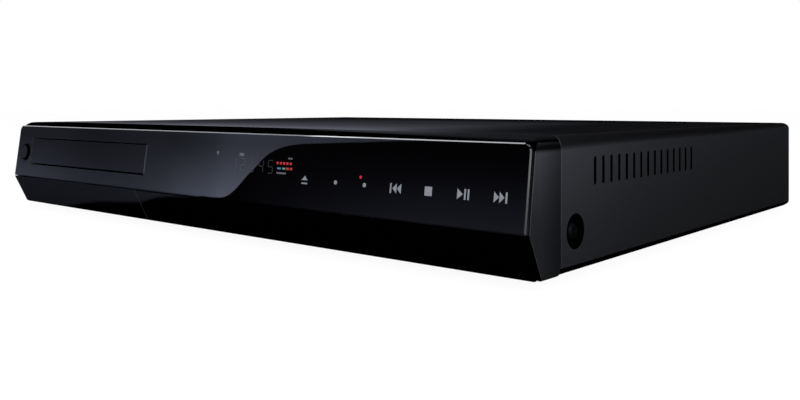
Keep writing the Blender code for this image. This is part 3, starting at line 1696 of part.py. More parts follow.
def make_main_parts():
    low = board_low + board + gap
    half = main_sink_side / 2
    plate = main_sink_height / 4
    count = heat_sink_fins
    pitch = (main_sink_side - heat_sink_fin_width) / (count - 1)
    x = main_sink_x - half
    outline = [(x + main_sink_side, low), (x, low)]
    for number in range(count):
        left = x + number * pitch
        right = left + heat_sink_fin_width
        outline += [(left, low + main_sink_height), (right, low + main_sink_height)]
        if number < count - 1:
            outline += [(right, low + plate), (left + pitch, low + plate)]
    y = front + main_sink_depth_place
    across_y("main_heat_sink", [outline], y - half, y + half, aluminium)
    for name, places in rear_jacks.items():
        round_jacks(
            name, places, back + socket_reach, 1, socket_reach, panel_in - gap, jack_body_depth,
            (jack_body_margin, jack_body_margin), jack_radius, jack_bore_radius, black_plastic,
        )
    round_jacks(
        "tuner_module", tuner_jacks, back + socket_reach, 1, socket_reach, panel_in - gap, tuner_depth,
        (tuner_width / 2, tuner_margin), coax_radius, coax_bore_radius, steel,
    )
    for name, z in scart_rows.items():
        face = panel_out + scart_proud
        port(
            name, scart_x, z, scart_width, scart_tall, face, 1, scart_depth, scart_wall, scart_tongue,
            black_plastic
        )
    z = base + rear_port_height + hdmi_height / 2
    face = panel_out + gap
    port(
        "hdmi_socket", hdmi_x, z, hdmi_width, hdmi_height, face, 1, rear_port_depth, usb_wall, usb_tongue,
        steel
    )
    z = base + rear_port_height + digital_side / 2
    half = digital_side / 2
    digital = block(
        "digital_out_socket", (digital_x - half, panel_out - rear_port_depth, z - half),
        (digital_x + half, panel_out + sheet, z + half), black_plastic,
    )
    hole_back = panel_out + sheet - digital_hole_depth
    length = digital_hole_depth + overrun
    hole = rod(
        "digital_hole", (digital_x, hole_back, z), (0, 1, 0), digital_hole_radius, length, None, small_sides
    )
    cut(digital, hole)


def make_hard_disk():
    x_low, x_high = disk_x - disk_width / 2, disk_x + disk_width / 2
    y_low = front + disk_front
    y_high = y_low + disk_depth
    low = pan_top + disk_rise
    high = (x_high, y_high, low + disk_height - disk_edge)
    disk = block("hard_disk", (x_low, y_low, low), high, cast_alloy, disk_rounding)
    inset = 3 * disk_edge
    lid_back = y_high - disk_lid_back_share * inset
    corner = 2 * inset
    lid_outline = rounded([
        (x_low + inset, y_low + inset, corner), (x_high - inset, y_low + inset, corner),
        (x_high - inset, lid_back, corner), (x_low + inset, lid_back, corner),
    ])
    lid = flat("lid", [lid_outline], flat_z, low + disk_height / 2, low + disk_height)
    join(disk, lid)
    wall = bracket_wall
    inner = disk_width / 2 + gap
    outer = inner + wall
    high = low + bracket_height
    foot = outer + bracket_foot
    floor = low - gap
    outline = [
        (disk_x - foot, pan_top + gap), (disk_x - outer + wall, pan_top + gap),
        (disk_x - outer + wall, floor - wall),
        (disk_x + outer - wall, floor - wall), (disk_x + outer - wall, pan_top + gap),
        (disk_x + foot, pan_top + gap),
        (disk_x + foot, pan_top + gap + wall), (disk_x + outer, pan_top + gap + wall), (disk_x + outer, high),
        (disk_x + inner, high), (disk_x + inner, floor), (disk_x - inner, floor), (disk_x - inner, high),
        (disk_x - outer, high), (disk_x - outer, pan_top + gap + wall), (disk_x - foot, pan_top + gap + wall),
    ]
    across_y("hard_disk_bracket", [outline], y_low + bracket_inset, y_high - bracket_inset, zinc_steel)


def make_fan():
    z = base + fan_height
    half = fan_side / 2
    high_y = panel_in - gap
    low_y = high_y - fan_depth
    outer = rounded([
        (fan_x - half, z - half, bottom_radius), (fan_x + half, z - half, bottom_radius),
        (fan_x + half, z + half, bottom_radius), (fan_x - half, z + half, bottom_radius),
    ], short_steps)
    bore = circle(fan_x, z, fan_bore_radius)
    frame = across_y("fan_frame", [outer, bore], low_y, high_y, black_plastic)
    stator = rod("stator", (fan_x, high_y, z), (0, -1, 0), fan_stator_radius, fan_stator_depth)
    spokes = []
    for number in range(fan_spoke_count):
        turn = Matrix.Rotation(2 * math.pi * number / fan_spoke_count, 4, "Y")
        place = Matrix.Translation((fan_x, 0, z)) @ turn
        wide = fan_spoke_width / 2
        spoke = block(
            "spoke", (-wide, high_y - fan_stator_depth, 0), (wide, high_y, fan_bore_radius + overrun / 2)
        )
        spoke.data.transform(place)
        spokes.append(spoke)
    join(frame, stator, *spokes)
    hub_back = high_y - fan_stator_depth - gap
    hub_length = fan_depth - fan_stator_depth - 2 * gap
    rotor = rod("fan_rotor", (fan_x, hub_back, z), (0, -1, 0), fan_hub_radius, hub_length, black_plastic)
    blades = []
    blade_depth = fan_depth - fan_stator_depth - overrun
    for number in range(fan_blade_count):
        turn = Matrix.Rotation(2 * math.pi * number / fan_blade_count, 4, "Y")
        middle = Vector((fan_x, hub_back - blade_depth / 2 - gap, z))
        place = Matrix.Translation(middle) @ turn @ Matrix.Rotation(fan_blade_tilt, 4, "Z")
        reach = blade_depth / 2 / math.cos(fan_blade_tilt)
        root = fan_hub_radius * fan_blade_root_share
        tip = fan_blade_radius * fan_blade_tip_share
        blade = block(
            "blade", (-fan_blade_thickness / 2, -reach, root), (fan_blade_thickness / 2, reach, tip)
        )
        blade.data.transform(place)
        blades.append(blade)
    join(rotor, *blades)
    pivot_at(rotor, (fan_x, hub_back, z))


# Finishes
black_paint = finish("black_paint", (0.03, 0.03, 0.033), 0.45, 0.1)
satin_black = finish("satin_black", (0.035, 0.036, 0.04), 0.35, 0)
gloss_black = finish("gloss_black", (0.012, 0.013, 0.016), 0.08, 0)
zinc_steel = finish("zinc_steel", (0.62, 0.63, 0.64), 0.38, 1)
black_steel = finish("black_steel", (0.04, 0.04, 0.045), 0.3, 0.8)
steel = finish("steel", (0.7, 0.7, 0.72), 0.25, 1)
rubber = finish("rubber", (0.03, 0.03, 0.03), 0.85, 0)
board_green = finish("board_green", (0.02, 0.16, 0.06), 0.5, 0)
aluminium = finish("aluminium", (0.75, 0.76, 0.77), 0.35, 1)
cast_alloy = finish("cast_alloy", (0.45, 0.46, 0.47), 0.5, 0.9)
black_plastic = finish("black_plastic", (0.025, 0.025, 0.027), 0.5, 0)
grey_plastic = finish("grey_plastic", (0.08, 0.08, 0.085), 0.55, 0)
white_plastic = finish("white_plastic", (0.8, 0.8, 0.76), 0.45, 0)
ferrite = finish("ferrite", (0.06, 0.055, 0.05), 0.7, 0)
display_glass = finish("display_glass", (0.02, 0.03, 0.035), 0.1, 0)
lens_glass = finish("lens_glass", (0.25, 0.3, 0.5), 0.03, 0)

# Parts, from the front to the back of the case
make_bezel()
make_window()
make_hood()
make_hood_screws()
make_pan()
make_rear_panel()
make_feet()
make_drive_frame()
make_tray()
make_tray_door()
make_loading_train()
make_cam_slider()
make_traverse()
make_clamp()
make_power_button()
make_jack_flap()
make_front_boards()
make_boards()
make_power_parts()
make_main_parts()
make_hard_disk()
make_fan()
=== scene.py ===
# Looks of a home disc recorder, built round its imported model. Metres, X right, Y back, Z up.
import json
import math

import bpy
from mathutils import Matrix, Vector


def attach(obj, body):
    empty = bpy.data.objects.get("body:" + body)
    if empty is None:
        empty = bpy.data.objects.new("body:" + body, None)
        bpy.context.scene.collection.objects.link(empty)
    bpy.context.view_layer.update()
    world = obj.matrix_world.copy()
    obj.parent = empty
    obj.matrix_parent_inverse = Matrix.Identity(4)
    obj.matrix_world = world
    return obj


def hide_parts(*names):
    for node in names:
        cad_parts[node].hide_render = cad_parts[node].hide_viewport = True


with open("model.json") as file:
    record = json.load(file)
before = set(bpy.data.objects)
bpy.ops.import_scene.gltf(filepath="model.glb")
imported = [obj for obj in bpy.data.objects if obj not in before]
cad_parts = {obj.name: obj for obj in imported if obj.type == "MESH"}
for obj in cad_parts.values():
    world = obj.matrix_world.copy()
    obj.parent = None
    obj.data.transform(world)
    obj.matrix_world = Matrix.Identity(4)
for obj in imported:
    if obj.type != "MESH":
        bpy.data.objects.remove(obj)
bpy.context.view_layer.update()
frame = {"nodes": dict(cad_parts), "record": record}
bpy.ops.object.select_all(action="DESELECT")
print("frame loaded", len(frame["nodes"]), "nodes")

mm = 0.001
frontLine = -165.7 * mm  # the case's bottom front edge
caseLow = 3 * mm
caseHigh = 60.5 * mm
caseBack = frontLine + 332 * mm
halfWidth = 215 * mm
ridgeOut = 9.6 * mm
ridgeUp = 19.7 * mm
windowLean = math.atan(4.8 / 35.3)
trayMiddle = -121 * mm
buttonX = -200.8 * mm
buttonUp = 36.6 * mm
dishBack = 28.5 * mm  # the side screws, behind the front line and over the case's foot
dishUp = 17.3 * mm
sliver = mm / 10  # edges and faces nearer than this to a plane lie on it
speck = mm / 1000  # points nearer than this are one
past = 5 * mm  # how far a cutter reaches past its piece


def deselectAll():
    bpy.ops.object.select_all(action="DESELECT")


def makeActive(piece):
    deselectAll()
    piece.select_set(True)
    bpy.context.view_layer.objects.active = piece


def editAll(piece):
    makeActive(piece)
    bpy.ops.object.mode_set(mode="EDIT")
    bpy.ops.mesh.select_all(action="SELECT")


def leaveEdit():
    bpy.ops.object.mode_set(mode="OBJECT")


def settle(piece):
    makeActive(piece)
    bpy.ops.object.transform_apply(location=True, rotation=True, scale=True)
    return piece


def addBox(name, low, high):
    deselectAll()
    middle = (Vector(low) + Vector(high)) / 2
    bpy.ops.mesh.primitive_cube_add(size=1, location=middle)
    piece = bpy.context.object
    piece.name = name
    piece.scale = Vector(high) - Vector(low)
    return settle(piece)


def addRod(name, start, end, radius, sides=32, endRadius=None):
    deselectAll()
    run = Vector(end) - Vector(start)
    turn = run.to_track_quat("Z", "Y").to_euler()
    bpy.ops.mesh.primitive_cone_add(
        vertices=sides, radius1=radius, radius2=radius if endRadius is None else endRadius, depth=run.length,
        location=(Vector(start) + Vector(end)) / 2, rotation=turn,
    )
    piece = bpy.context.object
    piece.name = name
    return settle(piece)


def clearPick(piece, kind):
    makeActive(piece)
    bpy.ops.object.mode_set(mode="EDIT")
    bpy.ops.mesh.select_mode(type=kind)
    bpy.ops.mesh.select_all(action="DESELECT")
    leaveEdit()


def pickEdges(piece, test):
    clearPick(piece, "EDGE")
    points = piece.data.vertices
    for edge in piece.data.edges:
        edge.select = bool(test(points[edge.vertices[0]].co, points[edge.vertices[1]].co))
    bpy.ops.object.mode_set(mode="EDIT")


def pickFaces(piece, test):
    clearPick(piece, "FACE")
    for face in piece.data.polygons:
        face.select = bool(test(face.center, face.normal))
    bpy.ops.object.mode_set(mode="EDIT")


def bevelEdges(piece, test, width, steps):
    pickEdges(piece, test)
    bpy.ops.mesh.bevel(offset=width, segments=steps, profile=0.5, affect="EDGES", clamp_overlap=True)
    leaveEdit()


def runsAlong(axis):
    def test(a, b):
        run = b - a
        return abs(run[axis]) > 0.9 * run.length
    return test


def useModifier(piece, kind, **settings):
    change = piece.modifiers.new(kind.lower(), kind)
    for name, value in settings.items():
        setattr(change, name, value)
    makeActive(piece)
    bpy.ops.object.modifier_apply(modifier=change.name)


def joined(pieces, name):
    makeActive(pieces[0])
    for piece in pieces:
        piece.select_set(True)
    bpy.ops.object.join()
    bpy.context.object.name = name
    return bpy.context.object


def combine(piece, others, operation):
    for other in others:
        useModifier(piece, "BOOLEAN", operation=operation, solver="EXACT", object=other)
        bpy.data.objects.remove(other)


def cutAway(piece, *others):
    combine(piece, others, "DIFFERENCE")


def addOn(piece, *others):
    combine(piece, others, "UNION")


def softEdges(piece, width, steps=2, angle=30):
    useModifier(
        piece, "BEVEL", width=width, segments=steps, limit_method="ANGLE", angle_limit=math.radians(angle),
        use_clamp_overlap=True,
    )


def copied(model, name, offset=(0, 0, 0)):
    # a copy with a mesh of its own, moved in that mesh
    piece = model.copy()
    piece.data = model.data.copy()
    piece.name = name
    bpy.context.scene.collection.objects.link(piece)
    for point in piece.data.vertices:
        point.co += Vector(offset)
    return piece


def done(piece, material, body, slotName, *nodes):
    makeActive(piece)
    bpy.ops.object.shade_smooth_by_angle(angle=math.radians(32))
    useModifier(piece, "WEIGHTED_NORMAL", keep_sharp=True, weight=100)
    piece.data.materials.clear()
    piece.data.materials.append(material)
    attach(piece, body)
    if nodes:
        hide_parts(*nodes)


def paintFaces(piece, material, test):
    # one more finish, on the faces that pass
    piece.data.materials.append(material)
    number = len(piece.data.materials) - 1
    for face in piece.data.polygons:
        if test(face.center, face.normal):
            face.material_index = number


def onWindow(piece):
    # from flat (x, depth, rise) to the leaning front
    piece.rotation_euler[0] = -windowLean
    piece.location = (0, frontLine - ridgeOut, caseLow + ridgeUp)
    settle(piece)


def riseOf(height):
    return (height - ridgeUp) / math.cos(windowLean)


def refined(node, width, steps=2, angle=30):
    # a CAD node's own shape with its edges softened
    piece = copied(frame["nodes"][node], node + "Finished")
    piece.parent = None
    piece.matrix_world = Matrix.Identity(4)
    piece.hide_render = False
    for key in list(piece.keys()):
        if key.startswith("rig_"):
            del piece[key]
    editAll(piece)
    bpy.ops.mesh.remove_doubles(threshold=2 * speck)
    bpy.ops.mesh.dissolve_limited(angle_limit=math.radians(1))
    leaveEdit()
    softEdges(piece, width, steps, angle)
    return piece


# Finishes
class Nodes:
    # a material's nodes, or those of a tree that is there already
    def __init__(self, name=None, tree=None):
        self.tree = tree
        if tree:
            return
        self.material = bpy.data.materials.new(name)
        self.material.use_nodes = True
        self.tree = self.material.node_tree
        self.shader = self.tree.nodes["Principled BSDF"]
        self.place = self.add("TexCoord").outputs["Object"]

    def add(self, kind, **values):
        node = self.tree.nodes.new("ShaderNode" + kind)
        self.fill(node, values)
        return node

    def fill(self, node, values):
        # sockets by name, with _ for a space
        for name, value in values.items():
            node.inputs[name.replace("_", " ")].default_value = value

    def link(self, output, target):
        self.tree.links.new(output, target)

    def scaled(self, stretch):
        mapping = self.add("Mapping", Scale=stretch)
        self.link(self.place, mapping.inputs["Vector"])
        return mapping.outputs["Vector"]

    def noise(self, scale, detail=3, stretch=None):
        node = self.add("TexNoise", Scale=scale, Detail=detail)
        self.link(self.scaled(stretch) if stretch else self.place, node.inputs["Vector"])
        return node.outputs["Fac"]

    def ranged(self, value, low, high, fromLow=0, fromHigh=1):
        node = self.add("MapRange", From_Min=fromLow, From_Max=fromHigh, To_Min=low, To_Max=high)
        self.link(value, node.inputs["Value"])
        return node.outputs["Result"]

    def maths(self, kind, first, second=None, third=None):
        node = self.add("Math")
        node.operation = kind
        for socket, value in zip(node.inputs, (first, second, third)):
            if value is None:
                continue
            if isinstance(value, (int, float)):
                socket.default_value = value
            else:
                self.link(value, socket)
        return node.outputs[0]

    def times(self, first, second):
        return self.maths("MULTIPLY", first, second)

    def minus(self, first, second):
        return self.maths("SUBTRACT", first, second)

    def mixed(self, factor, first, second):
        node = self.add("Mix")
        node.data_type = "RGBA"
        if isinstance(factor, (int, float)):
            node.inputs[0].default_value = factor
        else:
            self.link(factor, node.inputs[0])
        for socket, value in ((node.inputs[6], first), (node.inputs[7], second)):
            if isinstance(value, tuple):
                socket.default_value = (*value, 1)
            else:
                self.link(value, socket)
        return node.outputs[2]

    def bump(self, value, strength, distance):
        node = self.add("Bump", Strength=strength, Distance=distance)
        self.link(value, node.inputs["Height"])
        self.feed("Normal", node.outputs["Normal"])

    def feed(self, socket, output):
        self.link(output, self.shader.inputs[socket])

    def set(self, **values):
        self.fill(self.shader, values)

    def places(self):
        # distance across, depth behind the front line and height over the case's foot
        split = self.add("SeparateXYZ")
        self.link(self.place, split.inputs[0])
        deep = self.minus(split.outputs["Y"], frontLine)
        return split.outputs["X"], deep, self.minus(split.outputs["Z"], caseLow)

    def drawn(self, value, low, high, points, tall):
        # a smooth curve through the points, at most tall high
        curve = self.add("FloatCurve")
        self.link(self.ranged(value, 0, 1, low, high), curve.inputs["Value"])
        handles = curve.mapping.curves[0].points
        spots = [((place - low) / (high - low), size / tall) for place, size in points]
        handles[0].location = spots[0]
        handles[1].location = spots[-1]
        for spot in spots[1:-1]:
            handles.new(*spot)
        curve.mapping.update()
        return self.times(curve.outputs[0], tall)

    def line(self, across, points, tall=0.06):
        return self.drawn(across, -halfWidth, halfWidth, points, tall)

    def along(self, deep, points):
        # a tone over the depth of the case, from its front line to 0.34 behind it
        return self.drawn(deep, 0, 0.34, points, 0.1)


def shade(colour, amount):
    return tuple(min(1, part * amount) for part in colour)


def finish(name, colour, roughness, metal=0, grain=900, bumpy=0.15, depth=0.00003, mottle=0.12, spread=0.08,
           coat=0, stretch=None, specular=0.5):
    made = Nodes(name)
    fine = made.noise(grain, 4, stretch)
    broad = made.noise(14, 2)
    tone = made.mixed(broad, shade(colour, 1 - mottle), shade(colour, 1 + mottle))
    made.feed("Base Color", made.mixed(fine, tone, shade(colour, 1 + mottle)))
    rough = made.ranged(fine, max(0.02, roughness - spread), roughness + spread, 0.3, 0.7)
    made.feed("Roughness", rough)
    made.bump(fine, bumpy, depth)
    made.set(Metallic=metal, Specular_IOR_Level=specular)
    if coat:
        made.set(Coat_Weight=coat, Coat_Roughness=0.04)
    return made.material


def glossed(made, colour):
    made.feed("Base Color", colour)
    fine = made.noise(60, 3)
    made.feed("Roughness", made.ranged(fine, 0.035, 0.075))
    made.bump(fine, 0.02, 0.00002)
    made.set(IOR=1.45, Coat_Weight=0.15, Coat_Roughness=0.03)


black = (0.0004, 0.0004, 0.0007)


def windowGlossWithReflection(name, amount=1.0):
    # black gloss with a painted reflection: the pale sweep that ends in an S-shaped line, lighter towards its foot
    sweepReflection = {
        "line": ((-0.215, 0.0), (-0.01, 0.0), (0.0079, 0.0202), (0.0174, 0.0203), (0.0264, 0.0208), (0.0310, 0.0220),
                 (0.0353, 0.0243), (0.0404, 0.0283), (0.0464, 0.0337), (0.0523, 0.0383), (0.0582, 0.0432),
                 (0.0646, 0.0466), (0.0722, 0.0489), (0.0823, 0.0505), (0.0975, 0.0514), (0.1108, 0.0521),
                 (0.1235, 0.0527), (0.1475, 0.0539), (0.215, 0.056)),
        "low": ((-0.215, 0.058), (-0.19, 0.055), (-0.148, 0.041), (-0.109, 0.032), (-0.074, 0.032), (-0.041, 0.040),
                (-0.011, 0.065), (0.016, 0.087), (0.029, 0.107), (0.05, 0.115), (0.215, 0.115)),
        "high": ((-0.215, 0.020), (-0.19, 0.019), (-0.155, 0.0185), (-0.116, 0.0138), (-0.08, 0.0148),
                 (-0.047, 0.0168), (-0.017, 0.0168), (0.012, 0.0255), (0.038, 0.040), (0.06, 0.040),
                 (0.104, 0.031), (0.15, 0.021), (0.19, 0.004), (0.215, 0.0)),
        "most": 0.12,
    }
    gapHighlight = {"x": -48.95 * mm, "wide": 0.35 * mm, "up": 37.5 * mm, "tall": 8.8 * mm}  # painted highlight: the pale line on the edge beside the tray door
    made = Nodes(name)
    across, deep, up = made.places()
    edge = made.line(across, sweepReflection["line"])
    inside = made.ranged(made.minus(up, edge), 0, 1, -0.0002, 0.0004)
    low = made.maths("POWER", made.ranged(up, 1, 0, 0.022, 0.05), 1.3)
    high = made.line(across, sweepReflection["high"], sweepReflection["most"])
    rise = made.minus(made.line(across, sweepReflection["low"], sweepReflection["most"]), high)
    reflectionLevel = made.maths("MULTIPLY_ADD", low, rise, high)
    tone = made.mixed(made.times(reflectionLevel, 5), (0, 0, 0), shade((0.184, 0.2, 0.262), amount))
    # painted light: on the right the black grows lighter towards the window's foot
    right = made.maths("POWER", made.ranged(up, 1, 0, 0.0195, 0.05), 1.5)
    right = made.times(made.ranged(across, 0, 1, 0.04, 0.17), right)
    rest = made.mixed(right, (0.001, 0.001, 0.0014), (0.0105, 0.0108, 0.015))
    # painted highlight on the edge beside the tray door
    beside = made.maths("COMPARE", across, gapHighlight["x"], gapHighlight["wide"])
    beside = made.times(beside, made.maths("COMPARE", up, gapHighlight["up"], gapHighlight["tall"]))
    tone = made.mixed(beside, tone, (0.075, 0.08, 0.1))
    glossed(made, made.mixed(inside, rest, tone))
    # the right end is duller towards its foot
    foot = made.times(made.maths("GREATER_THAN", across, 0.2133), made.ranged(up, 1, 0, 0.024, 0.05))
    rough = made.shader.inputs["Roughness"].links[0].from_socket
    made.feed("Roughness", made.maths("MULTIPLY_ADD", foot, 0.45, rough))
    return made.material


lowerReflectionLine = ((-0.215, 0.0), (-0.16, 0.0), (-0.1475, 0.002), (-0.1085, 0.0075), (-0.073, 0.0102), (-0.0564, 0.0115),
             (-0.0405, 0.0151), (-0.0252, 0.0173), (-0.0106, 0.0184), (0.0035, 0.0195), (0.03, 0.022), (0.215, 0.04))


def lowerReflection(made, across, up):
    # the painted reflection's faint tail under the ridge
    inside = made.ranged(made.minus(up, made.line(across, lowerReflectionLine)), 0, 1, -0.0008, 0.0016)
    tone = made.mixed(made.ranged(across, 0, 1, -0.1, -0.03), (0.0185, 0.0195, 0.026), (0.023, 0.024, 0.032))
    return made.mixed(inside, black, tone)


# gloss flap with the painted reflection's tail, lighter at its left end
def flapGlossAndReflection():
    made = Nodes("flapGlossReflected")
    across, deep, up = made.places()
    end = made.maths("LESS_THAN", across, -0.0571)
    glossed(made, made.mixed(end, lowerReflection(made, across, up), (0.05, 0.052, 0.062)))
    return made.material


def toned(made, fine, light):
    # one paint made lighter or darker by a value of painted light, with the grain's specks
    grainy = made.times(light, made.ranged(fine, 8.5, 12.5, 0.3, 0.7))
    return made.mixed(grainy, (0, 0, 0), (0.098, 0.1, 0.117))


def painted(made, fine, light, rough, bumpy, depth, specular):
    made.feed("Base Color", toned(made, fine, light))
    made.feed("Roughness", made.ranged(fine, *rough, 0.3, 0.7))
    made.bump(fine, bumpy, depth)
    made.set(Specular_IOR_Level=specular)
    return made.material


def topTone(made, across, deep):
    # lit towards the front, dying out to the back and the right
    back = made.along(deep, ((0, 0.085), (0.018, 0.087), (0.034, 0.068), (0.054, 0.050), (0.073, 0.040),
                             (0.1, 0.0300), (0.125, 0.0245), (0.15, 0.0185), (0.2, 0.0155), (0.225, 0.0105),
                             (0.265, 0.005), (0.3, 0.0015), (0.34, 0)))
    fade = made.line(across, ((-0.215, 0.72), (-0.1, 0.8), (-0.05, 1.0), (0.0, 1.0), (0.085, 0.95), (0.107, 0.78),
                              (0.12, 0.58), (0.132, 0.40), (0.15, 0.25), (0.17, 0.13), (0.215, 0.085)), 1.0)
    least = made.ranged(deep, 0.0048, 0, 0.25, 0.33)
    return made.maths("MAXIMUM", made.times(back, fade), least)


def hoodPaintAndLight():
    # fine textured paint with painted light: lighter towards the front and higher up, with painted shade on the
    # rolled top edge and along the foot and a painted highlight along the front edge
    made = Nodes("hoodPaintLit")
    across, deep, up = made.places()
    fine = made.noise(2200, 4)
    high = made.along(deep, ((0, 0.041), (0.022, 0.036), (0.035, 0.033), (0.06, 0.0275), (0.1, 0.0218),
                             (0.14, 0.0195), (0.2, 0.0175), (0.34, 0.0170)))
    low = made.along(deep, ((0, 0.0160), (0.022, 0.0150), (0.06, 0.0128), (0.14, 0.0118), (0.34, 0.0125)))
    climb = made.maths("POWER", made.ranged(up, 0, 1, 0.0, 0.054), 1.5)
    side = made.maths("MULTIPLY_ADD", climb, made.minus(high, low), low)
    bend = made.along(deep, ((0, 0.0510), (0.03, 0.0514), (0.075, 0.0520), (0.13, 0.0524), (0.19, 0.0527),
                             (0.255, 0.0534), (0.34, 0.0545)))
    # painted shade on the rolled top edge, and a painted highlight along the front edge
    rim = made.maths("POWER", made.ranged(made.minus(up, bend), 1, 0, 0, 0.0036), 2.2)
    rim = made.times(made.ranged(rim, 0.14, 1), made.ranged(deep, 1.9, 1, 0.0163, 0.0170))
    # painted shade along the foot
    foot = made.ranged(up, 0.1, 1, 0.0008, 0.0026)
    side = made.times(made.times(side, rim), foot)
    flat = made.ranged(up, 0, 1, 0.0570, 0.0574)
    light = made.maths("MULTIPLY_ADD", flat, made.minus(topTone(made, across, deep), side), side)
    return painted(made, fine, light, (0.44, 0.6), 0.22, 0.00004, 0.3)


def hoodTopPaintAndLight():
    # the same paint with the top's painted light and without its sheen, which the flat top shows too strongly from
    # low down
    made = Nodes("hoodTopPaintLit")
    across, deep, up = made.places()
    return painted(made, made.noise(2200, 4), topTone(made, across, deep), (0.5, 0.65), 0.22, 0.00004, 0)


# painted reflection on the window and the tray door, the door's a little dimmer
windowGlossReflected = windowGlossWithReflection("windowGlossReflected")
doorGlossReflected = windowGlossWithReflection("doorGlossReflected", 0.84)
flapGlossReflected = flapGlossAndReflection()
hoodPaintLit = hoodPaintAndLight()
hoodTopPaintLit = hoodTopPaintAndLight()
# painted shade: black without reflection, put on the walls of holes and recesses and on the hood's inside
shadeBlack = finish("shadeBlack", (0.0004, 0.0004, 0.0005), 0.8, grain=800, bumpy=0.1, specular=0)
blackScrew = finish("blackScrew", (0.0025, 0.0025, 0.003), 0.5, grain=700, specular=0.08)
footRubber = finish("footRubber", (0.024, 0.024, 0.024), 0.8, grain=500, bumpy=0.3)
print("finishes ready")


# Front window: one gloss slab with the door's opening and the button's hole
def makeWindow():
    window = {"side": 214.4 * mm, "thick": 2.15 * mm, "top": riseOf(55.2 * mm), "corner": 3.5 * mm, "foot": 0.6 * mm,
              "edge": 1.5 * mm, "doorSide": 71.7 * mm, "doorLow": 28.25 * mm, "doorHigh": 46.75 * mm,
              "hole": 5.95 * mm, "soft": 0.15 * mm}
    side, top = window["side"], window["top"]
    piece = addBox("frontWindowGlass", (-side, 0, 0), (side, window["thick"], top))
    across = runsAlong(1)
    bevelEdges(piece, lambda a, b: across(a, b) and a.z > top / 2, window["corner"], 10)
    bevelEdges(piece, lambda a, b: across(a, b) and a.z < window["foot"], window["foot"], 4)
    bevelEdges(piece, lambda a, b: a.y < sliver and b.y < sliver, window["edge"], 1)
    onWindow(piece)
    doorWay = addBox(
        "doorWay", (trayMiddle - window["doorSide"], frontLine - 2 * ridgeOut, caseLow + window["doorLow"]),
        (trayMiddle + window["doorSide"], frontLine + ridgeOut, caseLow + window["doorHigh"]),
    )
    rise = riseOf(buttonUp)
    hole = addRod("hole", (buttonX, -past, rise), (buttonX, past, rise), window["hole"], 48)
    onWindow(hole)
    cutAway(piece, doorWay, hole)
    softEdges(piece, window["soft"])
    done(piece, windowGlossReflected, "case", "gloss_black", "front_window")

    def inHole(middle, normal):
        near = math.hypot(middle.x - buttonX, middle.z - caseLow - buttonUp) < window["hole"] + mm / 4
        return near and abs(normal.y) < 0.5

    # painted shade: the walls of the button's hole are black
    paintFaces(piece, shadeBlack, inHole)


makeWindow()


# Tray door: gloss panel with softened edges and the tongue that joins it to the tray
def makeTrayDoor():
    door = {"side": 71.25 * mm, "low": 29.3 * mm, "high": 46.1 * mm, "thick": 2.2 * mm, "edge": 0.35 * mm,
            "tongueSide": 60 * mm, "tongueLow": 35 * mm, "tongueHigh": 41 * mm, "tongueFront": 5.6 * mm,
            "tongueBack": 3.7 * mm}
    piece = addBox(
        "trayDoorPanel", (trayMiddle - door["side"], 0, caseLow + door["low"]),
        (trayMiddle + door["side"], door["thick"], caseLow + door["high"]),
    )
    slope = math.tan(windowLean)
    for point in piece.data.vertices:
        point.co.y += frontLine - ridgeOut + (point.co.z - caseLow - ridgeUp) * slope
    tongue = addBox(
        "tongue", (trayMiddle - door["tongueSide"], frontLine - door["tongueFront"], caseLow + door["tongueLow"]),
        (trayMiddle + door["tongueSide"], frontLine - door["tongueBack"], caseLow + door["tongueHigh"]),
    )
    softEdges(piece, door["edge"], 3)
    addOn(piece, tongue)
    done(piece, doorGlossReflected, "tray", "gloss_black", "tray_door")


makeTrayDoor()


# Power button: dished cap in a ring gap
def makePowerButton():
    button = {"radius": 5.6 * mm, "proud": 1.5 * mm, "rim": 0.9 * mm, "cap": 1.4 * mm, "stem": 2.2 * mm,
              "length": 15.5 * mm, "bite": 0.2 * mm,
              "dish": ((1.1 * mm, 0), (1.2 * mm, -0.25 * mm), (1.4 * mm, -0.12 * mm))}
    rise = riseOf(buttonUp)
    start, end = (buttonX, button["cap"], rise), (buttonX, -button["proud"], rise)
    piece = addRod("powerButtonCap", start, end, button["radius"], 64)
    pickFaces(piece, lambda middle, normal: normal.y < -0.9)
    for step, depth in button["dish"]:
        bpy.ops.mesh.inset(thickness=step, depth=depth)
    leaveEdit()

    def onRim(point):
        return point.y < 0 and math.hypot(point.x - buttonX, point.z - rise) > button["radius"] * 0.95

    bevelEdges(piece, lambda a, b: onRim(a) and onRim(b), button["rim"], 4)
    foot, tip = (buttonX, button["cap"] - button["bite"], rise), (buttonX, button["length"], rise)
    addOn(piece, addRod("stem", foot, tip, button["stem"]))
    onWindow(piece)
    done(piece, buttonGloss, "power_button", "gloss_black", "power_button")
    # painted shade: the cap's rolled rim and side are black
    edge = button["radius"] - button["rim"] * 1.1
    paintFaces(
        piece, shadeBlack,
        lambda middle, normal: math.hypot(middle.x - buttonX, middle.z - caseLow - buttonUp) > edge,
    )


buttonGloss = finish("buttonGloss", (0.026, 0.028, 0.036), 0.14, grain=300, bumpy=0.03, coat=0.3)
makePowerButton()
print("window, door and button made")


